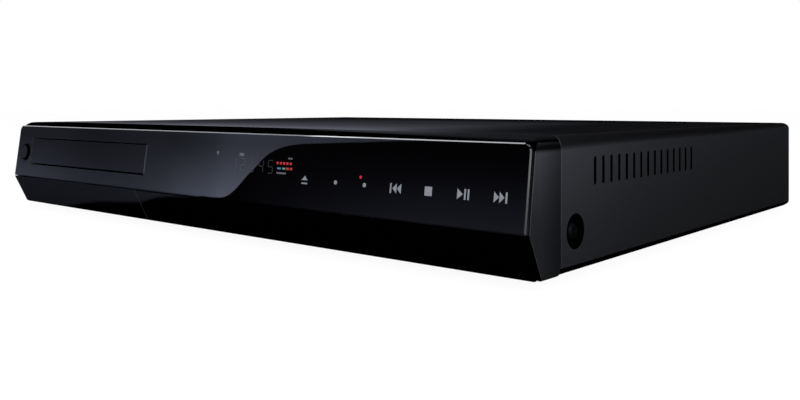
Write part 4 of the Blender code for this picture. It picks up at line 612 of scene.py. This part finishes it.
# Hood: folded sheet with vents and a dished screw place on each side
def makeHood():
    hood = {"front": frontLine + 16.1 * mm, "wall": 1 * mm, "corner": 4 * mm, "rolled": 0.7 * mm,
            "ventFirst": 45.8 * mm, "ventStep": 7.75 * mm, "vents": 15, "ventWide": 2.3 * mm,
            "ventLow": 35.4 * mm, "ventHigh": 47.8 * mm, "lip": 6 * mm, "backLip": 8 * mm, "soft": 0.25 * mm}
    dish = {"cup": (3.4, 0.5, 6.2, 8.5), "dip": (2.4, -0.02, 5.2, 7.5), "screw": 1.8 * mm, "screwDeep": 8 * mm}
    front, wall = hood["front"], hood["wall"]
    along, across = runsAlong(1), runsAlong(0)
    piece = addBox("hoodShell", (-halfWidth, front, caseLow), (halfWidth, caseBack, caseHigh))
    bevelEdges(piece, lambda a, b: along(a, b) or (across(a, b) and a.y > 0), hood["corner"], 10)
    bevelEdges(piece, lambda a, b: a.y < front + sliver and b.y < front + sliver, hood["rolled"], 3)
    inner = addBox(
        "inner", (wall - halfWidth, front - past, caseLow + wall),
        (halfWidth - wall, caseBack - wall, caseHigh - wall),
    )
    bevelEdges(inner, lambda a, b: along(a, b) or (across(a, b) and a.y > 0), hood["corner"] - wall, 8)
    cutAway(piece, inner)
    cups, dips = [], []
    for side in (-1, 1):
        place = Vector((side * halfWidth, frontLine + dishBack, caseLow + dishUp))
        out = Vector((side, 0, 0))
        for name, group in (("cup", cups), ("dip", dips)):
            deep, shallow, small, large = dish[name]  # in mm
            start, end = place - out * deep * mm, place - out * shallow * mm
            group.append(addRod(name, start, end, small * mm, 48, large * mm))
        dips.append(addRod("screwWay", place - out * dish["screwDeep"], place, dish["screw"], 24))
    addOn(piece, *cups)
    cutAway(piece, *dips)
    slots = []
    for number in range(hood["vents"]):
        y = frontLine + hood["ventFirst"] + number * hood["ventStep"]
        half = hood["ventWide"] / 2
        slot = addBox(
            "slot", (-halfWidth - past, y - half, caseLow + hood["ventLow"]),
            (halfWidth + past, y + half, caseLow + hood["ventHigh"]),
        )
        bevelEdges(slot, runsAlong(0), half * 0.98, 5)
        slots.append(slot)
    cutAway(piece, joined(slots, "slots"))
    under = addBox(
        "under", (hood["lip"] - halfWidth, front - past, caseLow - past),
        (halfWidth - hood["lip"], caseBack + past, caseLow + hood["corner"]),
    )
    behind = addBox(
        "behind", (wall - halfWidth, caseBack - hood["corner"], caseLow - past),
        (halfWidth - wall, caseBack + past, caseHigh - hood["backLip"]),
    )
    cutAway(piece, under, behind)
    softEdges(piece, hood["soft"], angle=40)
    done(piece, hoodPaintLit, "case", "black_paint", "top_cover")

    def withinWalls(middle, normal):
        return abs(middle.x) < halfWidth - sliver and middle.z < caseHigh - past and middle.y < caseBack - past

    # painted shade: the hood's inside, the walls of its vents and the screw dishes are black
    paintFaces(piece, shadeBlack, withinWalls)
    paintFaces(piece, hoodTopPaintLit, lambda middle, normal: normal.z > 0.999 and middle.z > caseHigh - sliver)


makeHood()
print("hood made")


# Bezel: satin flanks with painted light and a painted highlight on the front edge, a gloss fascia with the painted
# reflection's tail and a dull roof with painted light and shade
def flankFinishesAndLight():
    made = Nodes("bezelTwoFinishesLit")
    across, deep, up = made.places()
    wide = made.maths("ABSOLUTE", across)
    fine = made.noise(2600, 4)
    # painted light on the flanks: lighter higher up and towards the front
    climb = made.maths("POWER", made.ranged(up, 0, 1, 0.012, 0.053), 2.0)
    light = made.maths("MULTIPLY_ADD", climb, 0.033, 0.0140)
    light = made.times(light, made.ranged(deep, 1, 0.5, 0.0, 0.0135))
    # painted highlight on the right flank's rounded front edge
    edge = made.maths("POWER", made.ranged(wide, 4.0, 1, 0.21485, 0.21498), made.maths("GREATER_THAN", across, 0))
    light = made.times(light, edge)
    # painted shade on the rolled top edge and along the foot
    light = made.times(light, made.ranged(up, 1, 0.05, 0.0509, 0.0524))
    light = made.times(light, made.ranged(up, 0.1, 1, 0.0010, 0.0030))
    flank = made.maths("GREATER_THAN", wide, 0.21462)
    # the gloss fascia carries the painted reflection's tail
    fascia = made.times(made.maths("LESS_THAN", across, -0.0579), made.maths("LESS_THAN", up, 0.0196))
    gloss = made.mixed(fascia, black, lowerReflection(made, across, up))
    bay = made.times(made.maths("GREATER_THAN", across, -0.0577), made.maths("LESS_THAN", up, 0.0188))
    bay = made.times(bay, made.maths("GREATER_THAN", deep, 0.0022))
    dull = made.mixed(fine, (0.016, 0.016, 0.018), (0.026, 0.026, 0.028))
    inner = made.mixed(bay, gloss, dull)
    made.feed("Base Color", made.mixed(flank, inner, toned(made, fine, light)))
    made.feed("Roughness", made.ranged(made.maths("MAXIMUM", flank, bay), 0.07, 0.45))
    made.bump(fine, 0.06, 0.00002)
    made.set(Specular_IOR_Level=0.3)
    return made.material


def roofLightAndShade():
    made = Nodes("bezelRoofLit")
    across, deep, up = made.places()
    fine = made.noise(2600, 4)
    # painted shade: a dark band along the window's top and darker towards the ends, with the top's painted light
    # behind
    start = made.line(across, ((-0.215, 0.058), (0.07, 0.0576), (0.11, 0.0572), (0.147, 0.0566), (0.2, 0.0555),
                               (0.215, 0.0553)))
    lit = made.ranged(made.minus(up, start), 0, 1, -0.0002, 0.0010)
    inside = made.ranged(made.maths("ABSOLUTE", across), 1, 0.3, 0.2120, 0.2145)
    light = made.times(made.times(lit, inside), topTone(made, across, deep))
    return painted(made, fine, light, (0.55, 0.7), 0.1, 0.00002, 0)


def makeBezel():
    bezel = {"soft": 0.35 * mm, "roofUp": 48 * mm}
    piece = refined("front_bezel", bezel["soft"], 3, 35)
    done(piece, flankFinishesAndLight(), "case", "satin_black", "front_bezel")

    def onRoof(middle, normal):
        return middle.z > caseLow + bezel["roofUp"] and normal.z > 0.1 and abs(middle.x) < halfWidth - mm / 2

    paintFaces(piece, roofLightAndShade(), onRoof)


makeBezel()


# Socket flap: gloss door with a rolled foot and the painted reflection's tail
done(refined("jack_door", 0.3 * mm, 3, 35), flapGlossReflected, "jack_flap", "gloss_black", "jack_door")
print("bezel and flap made")


# Touch marks, lamps and display on the window
def flatMark(name, corners, depth=0.07 * mm):
    # a closed prism from a flat outline, low corner first
    deselectAll()
    bpy.ops.mesh.primitive_circle_add(vertices=len(corners), radius=1, fill_type="NGON")
    piece = bpy.context.object
    piece.name = name
    for point, (across, rise) in zip(piece.data.vertices, corners):
        point.co = (across, -depth * 0.6, rise)  # the rest sinks into the glass
    editAll(piece)
    bpy.ops.mesh.extrude_region_move(TRANSFORM_OT_translate={"value": (0, depth, 0)})
    bpy.ops.mesh.select_all(action="SELECT")
    bpy.ops.mesh.normals_make_consistent(inside=False)
    leaveEdit()
    return piece


def inMetres(*sizes):
    # outlines are given in mm: the middle's place across, its height over the case's foot, then sizes
    x, up, *rest = [size * mm for size in sizes]
    return x, riseOf(up), *rest


def bar(x, up, wide, tall):
    x, rise, wide, tall = inMetres(x, up, wide, tall)
    left, right, low, high = x - wide / 2, x + wide / 2, rise - tall / 2, rise + tall / 2
    return [(left, low), (right, low), (right, high), (left, high)]


def arrow(x, up, wide, tall, way):
    x, rise, wide, tall = inMetres(x, up, wide, tall)
    return [(x - way * wide / 2, rise - tall / 2), (x + way * wide / 2, rise), (x - way * wide / 2, rise + tall / 2)]


def wedge(x, up, wide, tall):
    # an arrow that points up, its foot at the height up
    x, rise, wide = inMetres(x, up, wide)
    return [(x - wide / 2, rise), (x + wide / 2, rise), (x, riseOf((up + tall) * mm))]


def disc(x, up, radius, count=20):
    x, rise, radius = inMetres(x, up, radius)
    turns = [2 * math.pi * step / count for step in range(count)]
    return [(x + radius * math.cos(turn), rise + radius * math.sin(turn)) for turn in turns]


def markGroup(name, outlines, material):
    piece = joined([flatMark(name, outline) for outline in outlines], name)
    onWindow(piece)
    done(piece, material, "case", "gloss_black")


def glowing(name, colour, strength, dim=None):
    # lit ink; towards the dim end it sinks into the black
    made = Nodes(name)
    across, deep, up = made.places()
    fine = made.noise(1200, 2)
    tone = made.mixed(fine, shade(colour, 0.9), shade(colour, 1.1))
    if dim:
        tone = made.mixed(made.ranged(across, 0, 1, dim - 0.012, dim), tone, shade(colour, 0.28))
    made.feed("Base Color", tone)
    made.feed("Emission Color", made.mixed(fine, shade(colour, 0.95), colour))
    made.feed("Roughness", made.ranged(fine, 0.2, 0.4))
    made.set(Emission_Strength=strength)
    return made.material


def makeMarks():
    # painted light: the printed touch marks glow a little, though no lamp is in them
    markInkGlow = glowing("markInkGlow", (0.235, 0.25, 0.272), 0.17)
    dimInk = glowing("dimInk", (0.075, 0.078, 0.09), 0.12, 55 * mm)
    redInk = glowing("redInk", (0.42, 0.03, 0.035), 0.35)
    blueInk = glowing("blueInk", (0.08, 0.16, 0.30), 0.4)
    greenInk = glowing("greenInk", (0.08, 0.26, 0.16), 0.4)
    key = {"up": 33.45, "tall": 4.4, "bar": 0.85, "arrow": 2.4, "square": 3.9, "play": 2.9}
    up, tall, thin, wide = key["up"], key["tall"], key["bar"], key["arrow"]
    # skip back, skip on, stop, play with pause, eject and two round marks
    touch = [bar(144.5, up, thin, tall), arrow(146.7, up, wide, tall, -1), arrow(149.3, up, wide, tall, -1)]
    touch += [arrow(200.0, up, wide, tall, 1), arrow(202.6, up, wide, tall, 1), bar(204.7, up, thin, tall)]
    touch += [bar(165.6, up, key["square"], key["square"])]
    touch += [arrow(182.2, up, key["play"], tall, 1), bar(184.7, up, thin, tall), bar(186.4, up, thin, tall)]
    touch += [wedge(89.3, 33.6, 4.2, 2.1), bar(89.3, 32.1, 4.0, 0.7)]
    touch += [disc(110.3, 33.8, 1.0), disc(128.7, 33.7, 1.0)]
    markGroup("touchMarks", touch, markInkGlow)
    digit = {"wide": 3.5, "tall": 6.4, "stroke": 0.5, "up": 38.75, "places": (34.2, 41.4, 48.6, 56.0, 63.3)}
    wide, tall, stroke, middle = digit["wide"], digit["tall"], digit["stroke"], digit["up"]
    flat, upright = (wide - stroke, stroke), (stroke, tall / 2 - stroke)
    segments = {  # each stroke's place from the digit's middle, and its size
        "a": (0, tall / 2, *flat), "g": (0, 0, *flat), "d": (0, -tall / 2, *flat),
        "f": (-wide / 2, tall / 4, *upright), "b": (wide / 2, tall / 4, *upright),
        "e": (-wide / 2, -tall / 4, *upright), "c": (wide / 2, -tall / 4, *upright),
    }
    digits = []
    for x, lit in zip(digit["places"], ("bc", "abged", "abgcd", "fgbc", "afgcd")):
        for letter in lit:
            across, up, *size = segments[letter]
            digits.append(bar(x + across, middle + up, *size))
    markGroup("displayDigits", digits, dimInk)
    reds = [bar(x, 40.9, 1.5, 1.2) for x in (68.6, 71.0, 73.4, 75.8, 78.3)]
    reds += [bar(x, 38.4, 1.7, 1.2) for x in (76.3, 78.8)]
    markGroup("redLamps", reds + [disc(126.0, 37.1, 0.75, 16)], redInk)
    greys = [bar(77.7, 43.4, 3.2, 0.7), bar(72.0, 36.0, 7.0, 0.8), bar(39.9, 44.0, 3.6, 1.6)]
    greys.append(disc(19.6, 44.2, 1.0, 16))
    markGroup("greyMarks", greys, glowing("greyInk", (0.12, 0.125, 0.14), 0.2))
    markGroup("blueLamps", [bar(70.0, 38.3, 2.6, 0.9)], blueInk)
    markGroup("greenLamps", [bar(73.6, 38.3, 2.2, 0.9)], greenInk)


makeMarks()
print("marks made")


# Other visible CAD pieces: softened copies or better finishes on the nodes
zincSheet = finish("zincSheet", (0.42, 0.43, 0.44), 0.4, 0.45, grain=60, bumpy=0.04, mottle=0.14, stretch=(1, 1, 6))
brightSteel = finish("brightSteel", (0.62, 0.62, 0.64), 0.28, 1, grain=400, bumpy=0.05, stretch=(1, 12, 1))
trayPlastic = finish("trayPlastic", (0.030, 0.030, 0.034), 0.4, grain=3200, bumpy=0.18)
greyPlastic = finish("greyPlastic", (0.07, 0.07, 0.075), 0.55, grain=1400, bumpy=0.2)
whitePlastic = finish("whitePlastic", (0.72, 0.72, 0.68), 0.42, grain=900, bumpy=0.06, mottle=0.04)
blackPlastic = finish("blackPlastic", (0.022, 0.022, 0.024), 0.5, grain=1600, bumpy=0.15)
castAlloy = finish("castAlloy", (0.38, 0.39, 0.40), 0.55, 0.9, grain=1100, bumpy=0.35, depth=0.00008)
finAlloy = finish("finAlloy", (0.62, 0.63, 0.64), 0.36, 1, grain=500, bumpy=0.06, stretch=(1, 1, 12))
ferriteTape = finish("ferriteTape", (0.045, 0.038, 0.03), 0.6, grain=600, bumpy=0.25)
lensBlue = finish("lensBlue", (0.05, 0.09, 0.28), 0.06, grain=200, bumpy=0.01, coat=1)
displayDark = finish("displayDark", (0.006, 0.009, 0.010), 0.1, grain=200, bumpy=0.02)


def boardGreen():
    made = Nodes("boardGreen")
    bricks = made.add(
        "TexBrick", Scale=60, Mortar_Size=0.035, Color1=(0.008, 0.075, 0.028, 1),
        Color2=(0.010, 0.095, 0.035, 1), Mortar=(0.03, 0.19, 0.07, 1),
    )
    made.link(made.place, bricks.inputs["Vector"])
    pads = made.add("TexVoronoi", Scale=260)
    made.link(made.place, pads.inputs["Vector"])
    solder = made.maths("LESS_THAN", pads.outputs["Distance"], 0.16)
    made.feed("Base Color", made.mixed(solder, bricks.outputs["Color"], (0.5, 0.5, 0.48)))
    made.feed("Roughness", made.ranged(pads.outputs["Distance"], 0.3, 0.55))
    made.bump(bricks.outputs["Fac"], 0.3, 0.00004)
    return made.material


green = boardGreen()
plainNodes = {
    zincSheet: ("chassis_base", "clamp_bridge", "hard_disk_bracket"),
    brightSteel: ("traverse_deck", "spindle_motor", "guide_rod_left", "guide_rod_right", "sled_motor",
                  "loading_motor", "front_usb_socket", "front_dv_socket", "pickup_sled"),
    greyPlastic: ("turntable",),
    whitePlastic: ("tray_gear", "pulley_gear", "motor_pulley", "cam_slider", "clamp_puck"),
    blackPlastic: ("main_capacitor", "fan_rotor"),
    footRubber: ("loading_belt",),
    finAlloy: ("power_heat_sink", "main_heat_sink"),
    lensBlue: ("pickup_lens",),
    displayDark: ("display_module",),
    green: ("power_board", "main_board", "front_board", "jack_board", "power_key_board"),
}
for material, names in plainNodes.items():
    for name in names:
        node = frame["nodes"][name]
        node.data.materials.clear()
        node.data.materials.append(material)


# Round sockets: nickel shells with coloured inserts and collars
socketNickel = finish("socketNickel", (0.70, 0.68, 0.64), 0.22, 1, grain=500, bumpy=0.05)
# which way a group's sockets look, where they stand and end, and where the plain group is cut off
rearWall = {"way": 1, "wall": 165.05 * mm, "tip": 175.3 * mm, "stub": 165.2 * mm}
bayWall = {"way": -1, "wall": -153.75 * mm, "tip": -158.7 * mm, "stub": -153.9 * mm}
panelLow, panelHigh, bayRise = 19, 33, 10.6
socketRows = {  # colour, place across and height over the case's foot, in mm
    "component_jacks": (rearWall, (("green", 35, panelHigh), ("blue", 35, panelLow), ("red", 49, panelHigh),
                                   ("orange", 49, panelLow))),
    "av_out_jacks": (rearWall, (("yellow", 100, panelLow), ("yellow", 100, panelHigh), ("white", 86, panelLow),
                                ("white", 86, panelHigh), ("red", 72, panelLow), ("red", 72, panelHigh))),
    "front_av_jacks": (bayWall, (("yellow", 84, bayRise), ("white", 99, bayRise), ("red", 114, bayRise))),
}
insertColours = {
    "green": (0.02, 0.22, 0.06), "blue": (0.02, 0.07, 0.36), "red": (0.42, 0.018, 0.018),
    "orange": (0.55, 0.13, 0.01), "yellow": (0.58, 0.38, 0.015), "white": (0.62, 0.62, 0.58),
}


def makeRoundSocket(way, wall, tip):
    # one socket at the origin, with each face's finish: 0 shell, 1 insert or collar, 2 contact hole, painted black
    # as shade
    socket = {"shell": 4.2 * mm, "insert": 3.4 * mm, "contact": 1.5 * mm, "sunk": 0.5 * mm, "deep": 4 * mm,
              "collar": 5.7 * mm, "thick": 1.3 * mm, "soft": 0.4 * mm}
    reach = abs(tip - wall)
    piece = addRod("roundSocket", (0, 0, 0), (0, way * reach, 0), socket["shell"])
    pickFaces(piece, lambda middle, normal: way * normal.y > 0.9)
    bpy.ops.mesh.inset(thickness=socket["shell"] - socket["insert"], depth=0)
    bpy.ops.mesh.extrude_region_move(TRANSFORM_OT_translate={"value": (0, -way * socket["sunk"], 0)})
    bpy.ops.mesh.inset(thickness=socket["insert"] - socket["contact"], depth=0)
    bpy.ops.mesh.extrude_region_move(TRANSFORM_OT_translate={"value": (0, -way * socket["deep"], 0)})
    leaveEdit()
    collar = addRod("collar", (0, 0, 0), (0, way * socket["thick"], 0), socket["collar"])
    bevelEdges(collar, lambda a, b: way * a.y > mm and way * b.y > mm, socket["soft"], 2)
    addOn(piece, collar)
    parts = []
    insertFloor = reach - socket["sunk"] * 1.1
    for face in piece.data.polygons:
        out = math.hypot(face.center.x, face.center.z)
        depth = way * face.center.y
        insert = depth > insertFloor and out < socket["insert"] * 0.97
        hole = depth < insertFloor and out < socket["contact"] * 1.05
        parts.append(2 if hole else 1 if insert or depth < socket["thick"] * 1.02 else 0)
    return piece, parts


def makeSockets():
    row = {"soft": 0.2 * mm, "past": 2 * mm, "clear": 9 * mm}
    tints = {}
    for colour, value in insertColours.items():
        tints[colour] = finish(colour + "Insert", value, 0.4, grain=900, bumpy=0.05, mottle=0.05)
    models = {}
    for node, (stand, sockets) in socketRows.items():
        way, wall, tip = stand["way"], stand["wall"], stand["tip"]
        places = [(colour, x * mm, caseLow + z * mm) for colour, x, z in sockets]
        body = refined(node, row["soft"])
        near, far = sorted((stand["stub"], tip + way * row["past"]))
        xs, zs, clear = [place[1] for place in places], [place[2] for place in places], row["clear"]
        away = addBox("away", (min(xs) - clear, near, min(zs) - clear), (max(xs) + clear, far, max(zs) + clear))
        cutAway(body, away)
        done(body, blackPlastic, "case", "black_plastic", node)
        if way not in models:
            models[way] = makeRoundSocket(way, wall, tip)
        model, parts = models[way]
        for number, (colour, x, z) in enumerate(places):
            piece = copied(model, f"{node}Shell{number}", (x, wall, z))
            done(piece, socketNickel, "case", "steel")
            piece.data.materials.append(tints[colour])
            piece.data.materials.append(shadeBlack)
            for face, part in zip(piece.data.polygons, parts):
                face.material_index = part
    for model, parts in models.values():
        bpy.data.objects.remove(model)


makeSockets()


# Small screws with cross recesses on the rear panel and the hood's rear lip
def crossCutters(middle, out, long, wide, deep):
    # two bars, each across the axis the screw looks along
    middle, out = Vector(middle), Vector(out)
    bars = []
    for side in ((0, 0, 1), out.cross(Vector((0, 0, 1)))):
        side = Vector(side)
        other = side.cross(out)
        half = side * long / 2 + Vector([abs(part) for part in other]) * wide / 2 + out * deep
        spread = Vector([abs(part) for part in half])
        bars.append(addBox("crossBar", middle - spread, middle + spread))
    return bars


def makeSmallScrews():
    screw = {"radius": 2.1 * mm, "high": 1.2 * mm, "round": 0.45 * mm, "long": 2.4 * mm, "wide": 0.55 * mm,
             "deep": 0.7 * mm, "fan": (-52, 29.5), "fanHalf": 16, "lipUp": 51.7}
    crown = screw["high"] * 0.9
    model = addRod("smallScrew", (0, 0, 0), (0, screw["high"], 0), screw["radius"], 28)
    bevelEdges(model, lambda a, b: a.y > crown and b.y > crown, screw["round"], 3)
    cutAway(model, *crossCutters((0, screw["high"], 0), (0, 1, 0), screw["long"], screw["wide"], screw["deep"]))
    panel, lip = 165.03 * mm, caseBack + 0.02 * mm  # just clear of the sheets
    half = screw["fanHalf"]
    places = [(screw["fan"][0] + x, panel, screw["fan"][1] + z) for x in (-half, half) for z in (-half, half)]
    places += [(x, panel, z) for x, z in (
        (42, 26), (79, 26), (93, 26), (190, 29), (111.2, 31), (164.8, 31), (-206, 8), (206, 8), (-100, 8), (3, 8),
        (60, 8))]
    places += [(x, lip, screw["lipUp"]) for x in (-160, 0, 160)]
    for number, (x, y, z) in enumerate(places):
        piece = copied(model, f"panelScrew{number}", (x * mm, y, caseLow + z * mm))
        if y == lip:
            done(piece, screwBlack, "case", "black_steel")
        else:
            done(piece, brightSteel, "case", "steel")
    bpy.data.objects.remove(model)


screwBlack = finish("screwBlack", (0.02, 0.02, 0.022), 0.35, 0.6, grain=700)
makeSmallScrews()


# Cover screws with their cross recess
def makeCoverScrews():
    screw = {"soft": 0.15 * mm, "sunk": 0.5 * mm, "long": 4.2 * mm, "wide": 0.8 * mm, "deep": 0.8 * mm}
    for side, node in ((-1, "cover_screw_left"), (1, "cover_screw_right")):
        piece = refined(node, screw["soft"])
        place = (side * (halfWidth - screw["sunk"]), frontLine + dishBack, caseLow + dishUp)
        cutAway(piece, *crossCutters(place, (side, 0, 0), screw["long"], screw["wide"], screw["deep"]))
        done(piece, blackScrew, "case", "black_steel", node)


makeCoverScrews()
print("sockets and screws made")


# Lead screw: a slim core with a raised helical thread
def makeLeadScrew():
    thread = {"core": 1.35 * mm, "crest": 1.68 * mm, "pitch": 1.5 * mm, "foot": 0.9 * mm, "steps": 18,
              "bare": 1.5 * mm, "sunk": 0.1 * mm, "end": 0.3 * mm}
    points = sorted((point.co for point in frame["nodes"]["lead_screw"].data.vertices), key=lambda co: co.y)
    half = len(points) // 2
    start, end = sum(points[:half], Vector()) / half, sum(points[half:], Vector()) / (len(points) - half)
    length = (end - start).length
    deselectAll()
    bpy.ops.mesh.primitive_circle_add(vertices=3, radius=mm, fill_type="NOTHING")
    ridge = bpy.context.object
    ridge.name = "leadScrewThread"
    inside = thread["core"] - thread["sunk"]
    corners = ((inside, 0), (thread["crest"], thread["foot"] / 2), (inside, thread["foot"]))
    for point, (out, up) in zip(ridge.data.vertices, corners):
        point.co = (out, 0, up + thread["bare"])
    turns = int((length - 2 * thread["bare"] - thread["foot"]) / thread["pitch"])
    useModifier(
        ridge, "SCREW", axis="Z", angle=2 * math.pi, steps=thread["steps"], render_steps=thread["steps"],
        screw_offset=thread["pitch"], iterations=turns,
    )
    editAll(ridge)
    bpy.ops.mesh.fill_holes(sides=3)
    bpy.ops.mesh.select_all(action="SELECT")
    bpy.ops.mesh.remove_doubles(threshold=speck)
    bpy.ops.mesh.normals_make_consistent(inside=False)
    leaveEdit()
    core = addRod("core", (0, 0, 0), (0, 0, length), thread["core"], 24)
    bevelEdges(core, lambda a, b: abs(a.z - b.z) < mm / 100, thread["end"], 2)
    piece = joined([ridge, core], "leadScrewFinished")
    piece.rotation_euler = (end - start).to_track_quat("Z", "Y").to_euler()
    piece.location = start
    settle(piece)
    done(piece, brightSteel, "lead_screw", "steel", "lead_screw")


makeLeadScrew()

softened = {  # width of the softening in mm
    (zincSheet, "zinc_steel"): {"rear_panel": 0.12},
    (trayPlastic, "satin_black"): {"disc_tray": 0.3},
    (greyPlastic, "grey_plastic"): {"drive_frame": 0.3},
    (footRubber, "rubber"): {"foot_front_left": 0.2, "foot_front_right": 0.2, "foot_rear_left": 0.2,
                             "foot_rear_right": 0.2},
    (blackPlastic, "black_plastic"): {"ac_inlet": 0.25, "scart_socket_lower": 0.25, "scart_socket_upper": 0.25,
                                      "digital_out_socket": 0.2, "fan_frame": 0.2},
    (brightSteel, "steel"): {"tuner_module": 0.2, "hdmi_socket": 0.1},
    (castAlloy, "cast_alloy"): {"hard_disk": 0.4},
    (ferriteTape, "ferrite"): {"transformer": 0.5},
}
for (material, slotName), widths in softened.items():
    for name, width in widths.items():
        body = next(key for key, names in frame["record"]["behaviour"]["bodies"].items() if name in names)
        done(refined(name, width * mm), material, body, slotName, name)
print("other pieces finished")


# Camera, floor, surround and lamps
def seenRays(made):
    # 1 for rays that the camera, gloss or glass sends, and else 0
    path = made.add("LightPath").outputs
    seen = made.maths("MAXIMUM", path["Is Camera Ray"], path["Is Glossy Ray"])
    return made.maths("MAXIMUM", seen, path["Is Transmission Ray"])


def blended(made, factor, first, second):
    mix = made.add("MixShader")
    for socket, output in zip(mix.inputs, (factor, first.outputs[0], second.outputs[0])):
        made.link(output, socket)
    return mix.outputs[0]


def addLamp(name, place, target, size, power, colour):
    lamp = bpy.data.objects.new(name, bpy.data.lights.new(name, "AREA"))
    bpy.context.scene.collection.objects.link(lamp)
    lamp.data.shape = "RECTANGLE"
    lamp.data.size, lamp.data.size_y = size
    lamp.data.energy = power
    lamp.data.color = colour
    lamp.location = place
    lamp.rotation_euler = (Vector(target) - Vector(place)).to_track_quat("-Z", "Y").to_euler()


def makeCamera():
    view = {"place": (0.38251, -0.44466, 0.07271), "turn": 40.618, "lens": 37.05, "shift": -0.11845, "sensor": 36,
            "nearest": 10 * mm}
    camera = bpy.data.objects.new("camera", bpy.data.cameras.new("camera"))
    bpy.context.scene.collection.objects.link(camera)
    camera.location = view["place"]
    camera.rotation_euler = (math.radians(90), 0, math.radians(view["turn"]))
    camera.data.lens = view["lens"]
    camera.data.sensor_width = view["sensor"]
    camera.data.shift_y = view["shift"]
    camera.data.clip_start = view["nearest"]
    bpy.context.scene.camera = camera


def makeFloor():
    deselectAll()
    bpy.ops.mesh.primitive_plane_add(size=60, location=(0, 0, -0.2 * mm))
    floor = bpy.context.object
    floor.name = "floor"
    pale = Nodes("paleFloor")
    pale.tree.nodes.remove(pale.shader)
    paper = pale.add("BsdfDiffuse")
    light = pale.add("Emission", Strength=1.04)
    camera = pale.add("LightPath").outputs["Is Camera Ray"]
    pale.link(pale.mixed(camera, (0.35, 0.35, 0.35), (0.86, 0.86, 0.86)), paper.inputs["Color"])
    surface = blended(pale, pale.times(seenRays(pale), 0.91), paper, light)
    pale.link(surface, pale.tree.nodes["Material Output"].inputs["Surface"])
    floor.data.materials.append(pale.material)


# Dark cards that only the gloss sees, as a photographer would stand round a black object
def makeCards():
    room = {"reach": 1.8, "high": 2.4, "lift": 0.1 * mm, "front": 200 * mm, "beside": 218 * mm, "behind": 140 * mm}
    reach, high, lift, front = room["reach"], room["high"], room["lift"], room["front"]
    beside, behind = room["beside"], room["behind"]
    right, rear = (reach + beside) / 2, (reach + behind) / 2
    dark = Nodes("darkCard")
    dark.set(Roughness=1, Specular_IOR_Level=0)
    dark.feed("Base Color", dark.mixed(dark.noise(3, 1), (0.0, 0.0, 0.0), (0.001, 0.001, 0.001)))
    sides = (
        ("cardLeft", (-reach, 0, high / 2), (0, math.pi / 2, 0), (high, 2 * reach)),
        ("cardRight", (reach, 0, high / 2), (0, -math.pi / 2, 0), (high, 2 * reach)),
        ("cardBack", (0, reach, high / 2), (math.pi / 2, 0, 0), (2 * reach, high)),
        ("cardFront", (0, -reach, high / 2), (-math.pi / 2, 0, 0), (2 * reach, high)),
        ("cardAbove", (0, 0, high), (math.pi, 0, 0), (2 * reach, 2 * reach)),
        ("cardFloor", (0, (front - reach) / 2, lift), (0, 0, 0), (2 * reach, reach + front)),
        ("cardFloorRight", (right, rear, lift), (0, 0, 0), (reach - beside, reach - behind)),
        ("cardFloorLeft", (-right, rear, lift), (0, 0, 0), (reach - beside, reach - behind)),
    )
    for name, place, turn, size in sides:
        deselectAll()
        bpy.ops.mesh.primitive_plane_add(size=1, location=place, rotation=turn)
        card = bpy.context.object
        card.name = name
        card.scale = (*size, 1)
        card.data.materials.append(dark.material)
        for rays in ("camera", "diffuse", "shadow", "transmission", "volume_scatter"):
            setattr(card, "visible_" + rays, False)


def makeSurround():
    # white to the camera and the gloss, a dim cool fill to the rest
    world = bpy.data.worlds.new("studio")
    world.use_nodes = True
    bpy.context.scene.world = world
    made = Nodes(tree=world.node_tree)
    made.tree.nodes.clear()
    shown = made.add("Background", Color=(1, 1, 1, 1))
    fill = made.add("Background", Color=(0.94, 0.96, 1, 1), Strength=0.62)
    surface = blended(made, seenRays(made), fill, shown)
    made.link(surface, made.add("OutputWorld").inputs["Surface"])


makeCamera()
makeFloor()
makeCards()
makeSurround()
for softbox in (  # name, place, target, size, power and colour
    ("sideSoftbox", (0.95, -0.55, 0.32), (0.2, -0.05, 0.03), (0.75, 0.62), 5.5, (0.93, 0.96, 1)),
    ("topSoftbox", (0.2, -0.46, 1.25), (0.1, -0.1, 0.05), (1.4, 0.5), 5.5, (1, 1, 1)),
    ("edgeSoftbox", (-0.52, 0.03, 0.97), (0.12, -0.17, 0.06), (0.36, 0.5), 3.2, (0.95, 0.97, 1)),
    ("farEdgeSoftbox", (-1.05, 0.0, 0.77), (-0.08, -0.17, 0.06), (0.36, 0.68), 1.5, (0.95, 0.97, 1)),
):
    addLamp(*softbox)
bpy.context.scene.view_settings.view_transform = "Standard"
print("stage ready")
